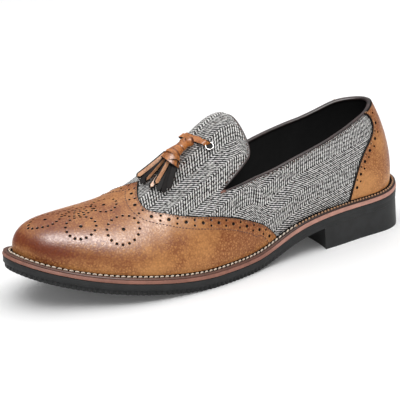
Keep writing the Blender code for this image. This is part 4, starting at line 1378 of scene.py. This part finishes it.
def strap(patches, points, widths, wide, thick, face_share=0.58, tip=1.0):
    """A flat leather band along points: its face, and its dark edges, back and tip."""
    run = unit(np.gradient(points, axis=0))
    high = unit(np.cross(run, wide))
    flat = unit(np.cross(high, run))
    half = np.asarray(widths)[:, None] / 2

    def row(a, b):
        return points + flat * half * a + high * thick / 2 * b

    along = np.linspace(0, 1, len(points))[:, None]
    f = face_share * (1 - tip * growth(along, (STRIP_POINT, STRIP_POINT + 0.05)))
    face = [row(-f, 1.0), row(-0.5 * f, 1.05), row(0, 1.1), row(0.5 * f, 1.05), row(f, 1.0)]
    back = [row(f, 1.0), row(0.5 * f + 0.5, 0.7), row(1, 0), row(0.9, -0.9)]
    back += [row(0, -1), row(-0.9, -0.9), row(-1, 0), row(-0.5 * f - 0.5, 0.7), row(-f, 1.0)]
    patches.grid(np.array(face), finish=0)
    patches.grid(np.array(back), finish=1)
    for end, flip in ((0, False), (-1, True)):
        rim = np.array([line[end] for line in [*face, *back[1:-1]]])
        patches.add(rim, [list(range(len(rim)))[::-1 if flip else 1]], finish=1)


def bent(points, count):
    """A smooth line through points."""
    place = lengths(points[:, :3])
    fine = np.linspace(0, place[-1], count)
    return np.stack([batten(place, points[:, i])(fine) for i in range(points.shape[1])], -1)


def make_lace():
    """A band out of one eyelet, over its rim and the flap's ridge, and down into the other."""
    middle_y = wall_point(angle_at(LACE_X), 1.0, LATERAL)[1]
    ends = []
    for y in eyelet_sides().values():
        toward = 1 if y < middle_y else -1
        x = EYELET_X + (LACE_X - EYELET_X) * LACE_CLIMB["share"]
        width = LACE_END_WIDTH + (LACE_WIDTH - LACE_END_WIDTH) * LACE_CLIMB["share"]
        ends.append(np.column_stack([x, y + toward * LACE_CLIMB["away"], LACE_CLIMB["lift"], width]))
    over_share = np.linspace(0, 1, 9)[1:-1]
    over_y = ends[0][-1, 1] + (ends[1][-1, 1] - ends[0][-1, 1]) * over_share
    over_x = LACE_X + LACE_PULL * np.sin(pi * over_share)
    over = [(x, y, LACE_LIFT, LACE_WIDTH) for x, y in zip(over_x, over_y)]
    rows = []
    for x, y, lift, width in [*ends[0], *over, *ends[1][::-1]]:
        point, along, _, out = wall_frame(*place_on_wall(x, y))
        rows.append([*(point + out * lift), *along, width])
    rows = bent(np.array(rows), 90)
    patches = Patches()
    # The lace's dark sides and margins: partly edge paint, partly painted shade along its rounded edges
    strap(patches, rows[:, :3], rows[:, 6], rows[:, 3:6], LACE_THICK, 0.84, 0.0)
    patches.piece("lace_band", [TASSEL_TAN, DARK_PAINT_AND_SHADE], ["lace"], "tan_leather")


def over_vamp(x, y, lift):
    """A point above the vamp, with directions along the shoe, across it and out of it."""
    point, along, side, out = wall_frame(*place_on_wall(x, y))
    return point + out * lift, along, side, out


def turned(patches, points, radii, sides, wide, finish=0, squash=1.0, lean=0.0, dark=0.0):
    """A round form about a line of points, flattened, its ends leaning; dark is each row's painted shade.
    """
    run = unit(points[-1] - points[0])
    first = unit(wide - run * (wide @ run))
    second = np.cross(run, first)
    turn = np.linspace(0, 2 * pi, sides, endpoint=False)[:, None]
    spoke = (first + run * lean) * np.cos(turn) + second * np.sin(turn) * squash
    rows = np.array([point + spoke * radius for point, radius in zip(points, radii)])
    marks = np.zeros_like(rows)
    marks[..., 2] = np.reshape(dark, (-1, 1))
    patches.grid(rows, marks=marks, closed=True, finish=finish)


def make_knot():
    """The leather rolled round the lace: two lobes with a groove between them."""
    middle, along, side, out = over_vamp(*KNOT)
    axis = side * cos(KNOT_TURN) - along * sin(KNOT_TURN)
    share = np.linspace(-1, 1, 61)
    radius = KNOT_RADIUS * (1 - 0.92 * share ** 6) ** 0.5
    for place, width, depth in KNOT_GROOVES:
        radius = radius - depth * np.exp(-((share - place) / width) ** 2)
    # Painted shade: the knot darkens in its grooves and toward its narrowing ends
    dark = np.clip(KNOT_RADIUS - radius - 0.1, 0, 1)
    radius[[0, -1]] = 0.1
    patches = Patches()
    turned(patches, middle + axis * share[:, None] * KNOT_WIDTH / 2, radius, 28, out, dark=dark)
    patches.piece("knot_roll", [TASSEL_TAN], ["knot"], "tan_leather")


def make_tassel():
    """Neck and bell cap, with painted shade in the neck's folds and at the cap's rim, and strips of leather
    with dark edges and backs.
    """
    knot, top, foot = (over_vamp(*place) for place in (KNOT, CAP_TOP, CAP_FOOT))
    cap, strips = Patches(), Patches()
    share = np.linspace(0, NECK["along"][-1], 36)
    line = knot[0] + (top[0] - knot[0]) * share[:, None]
    # Painted shade in the neck's folds
    fold = sum(np.exp(-((share - place) / width) ** 2) for place, width in NECK_FOLD_SHADE)
    radius = np.interp(share, NECK["along"], NECK["radius"])
    turned(cap, line, radius, 32, top[2], squash=CAP_SQUASH, dark=0.8 * fold)
    share = np.linspace(CAP["along"][0], 1, 40)
    line = top[0] + (foot[0] - top[0]) * share[:, None]
    radius = np.interp(share, CAP["along"], CAP["radius"])
    turned(cap, line[:-3], radius[:-3], 40, foot[2], 0, CAP_SQUASH, CAP_LEAN)
    # The cap's lower rim in the dark material: its edge paint, and painted shade of the line under the rim
    turned(cap, line[-4:], radius[-4:], 40, foot[2], 1, CAP_SQUASH, CAP_LEAN)
    inner = top[0] + (foot[0] - top[0]) * CAP_INSIDE["along"][:, None]
    turned(cap, inner, CAP_INSIDE["radius"], 40, foot[2], 1, CAP_SQUASH, CAP_LEAN)
    cap.piece("tassel_cap", [TASSEL_TAN, DARK_PAINT_AND_SHADE], ["tassel"], "tan_leather")
    axis = unit(foot[0] - top[0])
    aside = -unit(foot[2] - axis * (axis @ foot[2]))
    down = -unit(foot[3] - axis * (axis @ foot[3]))
    share = np.linspace(0, 1, 30)[:, None]
    taper = np.sqrt(1 - np.clip((share[:, 0] - STRIP_POINT) / (1 - STRIP_POINT), 0, 1) ** 2 * 0.85)
    for across_cap, down_cap, x, y, lift, turn, width in zip(*STRIPS.values()):
        tip, _, side, out = over_vamp(x, y, lift)
        mouth = foot[0] + (aside - axis * CAP_LEAN) * across_cap * MOUTH
        mouth = mouth + down * down_cap * MOUTH * CAP_SQUASH
        root = mouth - axis * STRIP_ROOT
        bow = mouth + (tip - mouth) * 0.35 + out * 0.8
        line = (1 - share) ** 2 * root + 2 * share * (1 - share) * bow + share ** 2 * tip
        face = out * cos(radians(turn)) + side * sin(radians(turn))
        wide = np.cross(face, unit(np.gradient(line, axis=0)))
        strap(strips, line, width * taper, wide, STRIP_THICK)
    strips.piece("tassel_strips", [HIGHLIT_STRIP_TAN, DARK_PAINT_AND_SHADE], ["tassel"], "tan_leather")


# Studio

def make_studio():
    """A pale floor, a white surround, a large lamp overhead and one that only makes the gloss."""
    scene = bpy.context.scene
    scene.view_settings.view_transform = "Standard"
    floor_mesh = bpy.data.meshes.new("floor")
    corners = [(FLOOR * x, FLOOR * y, 0) for x, y in ((-1, -1), (1, -1), (1, 1), (-1, 1))]
    floor_mesh.from_pydata(corners, [], [(0, 1, 2, 3)])
    floor = bpy.data.objects.new("floor", floor_mesh)
    scene.collection.objects.link(floor)
    paper = Finish("paper", Roughness=0.9, Emission_Color=(1, 1, 1, 1), Emission_Strength=0.06)
    paper.set(Base_Color=paper.mix(paper.noise(40.0), srgb(248, 248, 248), srgb(252, 252, 252)))
    floor_mesh.materials.append(paper.made)
    world = bpy.data.worlds.new("studio")
    world.use_nodes = True
    world.node_tree.nodes["Background"].inputs["Color"].default_value = (1, 1, 1, 1)
    world.node_tree.nodes["Background"].inputs["Strength"].default_value = 0.4
    scene.world = world

    def softbox(name, place, target, size, power):
        light = bpy.data.lights.new(name, "AREA")
        light.shape, light.size, light.size_y, light.energy = "RECTANGLE", *size, power
        lamp = bpy.data.objects.new(name, light)
        lamp.location = place
        lamp.rotation_euler = (Vector(place) - Vector(target)).to_track_quat("Z", "Y").to_euler()
        scene.collection.objects.link(lamp)
        return lamp

    softbox("overhead", (-0.25, -0.35, 1.7), (-0.25, -0.35, 0), (3.0, 3.0), 40.0)
    gloss = softbox("gloss", (0.27, 0.46, 0.93), (0.11, 0.02, 0.04), (0.8, 0.5), 58.0)
    gloss.visible_diffuse = False


def make_camera():
    """The photo's view: azimuth, height and roll in degrees, focal length in the photo's pixels."""
    azimuth, height, roll, distance, focal = radians(149), radians(18), radians(-2), 0.8, 1178.0
    target = Vector((0.0113, 0.0, 0.043))
    back = Vector((sin(azimuth) * cos(height), -cos(azimuth) * cos(height), sin(height)))
    right = Vector((0, 0, 1)).cross(back).normalized()
    up = back.cross(right)
    turned_right = right * cos(roll) + up * sin(roll)
    turned_up = up * cos(roll) - right * sin(roll)
    data = bpy.data.cameras.new("camera")
    data.sensor_width = 36.0
    data.lens = data.sensor_width * focal / 400
    camera = bpy.data.objects.new("camera", data)
    axes = Matrix((turned_right, turned_up, back)).transposed().to_4x4()
    camera.matrix_world = Matrix.Translation(target + back * distance) @ axes
    bpy.context.scene.collection.objects.link(camera)
    bpy.context.scene.camera = camera


make_camera()
make_studio()
make_upper()
make_binding()
make_wing()
make_counter()
make_sole()
make_welt()
make_footbed()
for eyelet, place in eyelet_sides().items():
    make_eyelet(eyelet, place)
make_lace()
make_knot()
make_tassel()
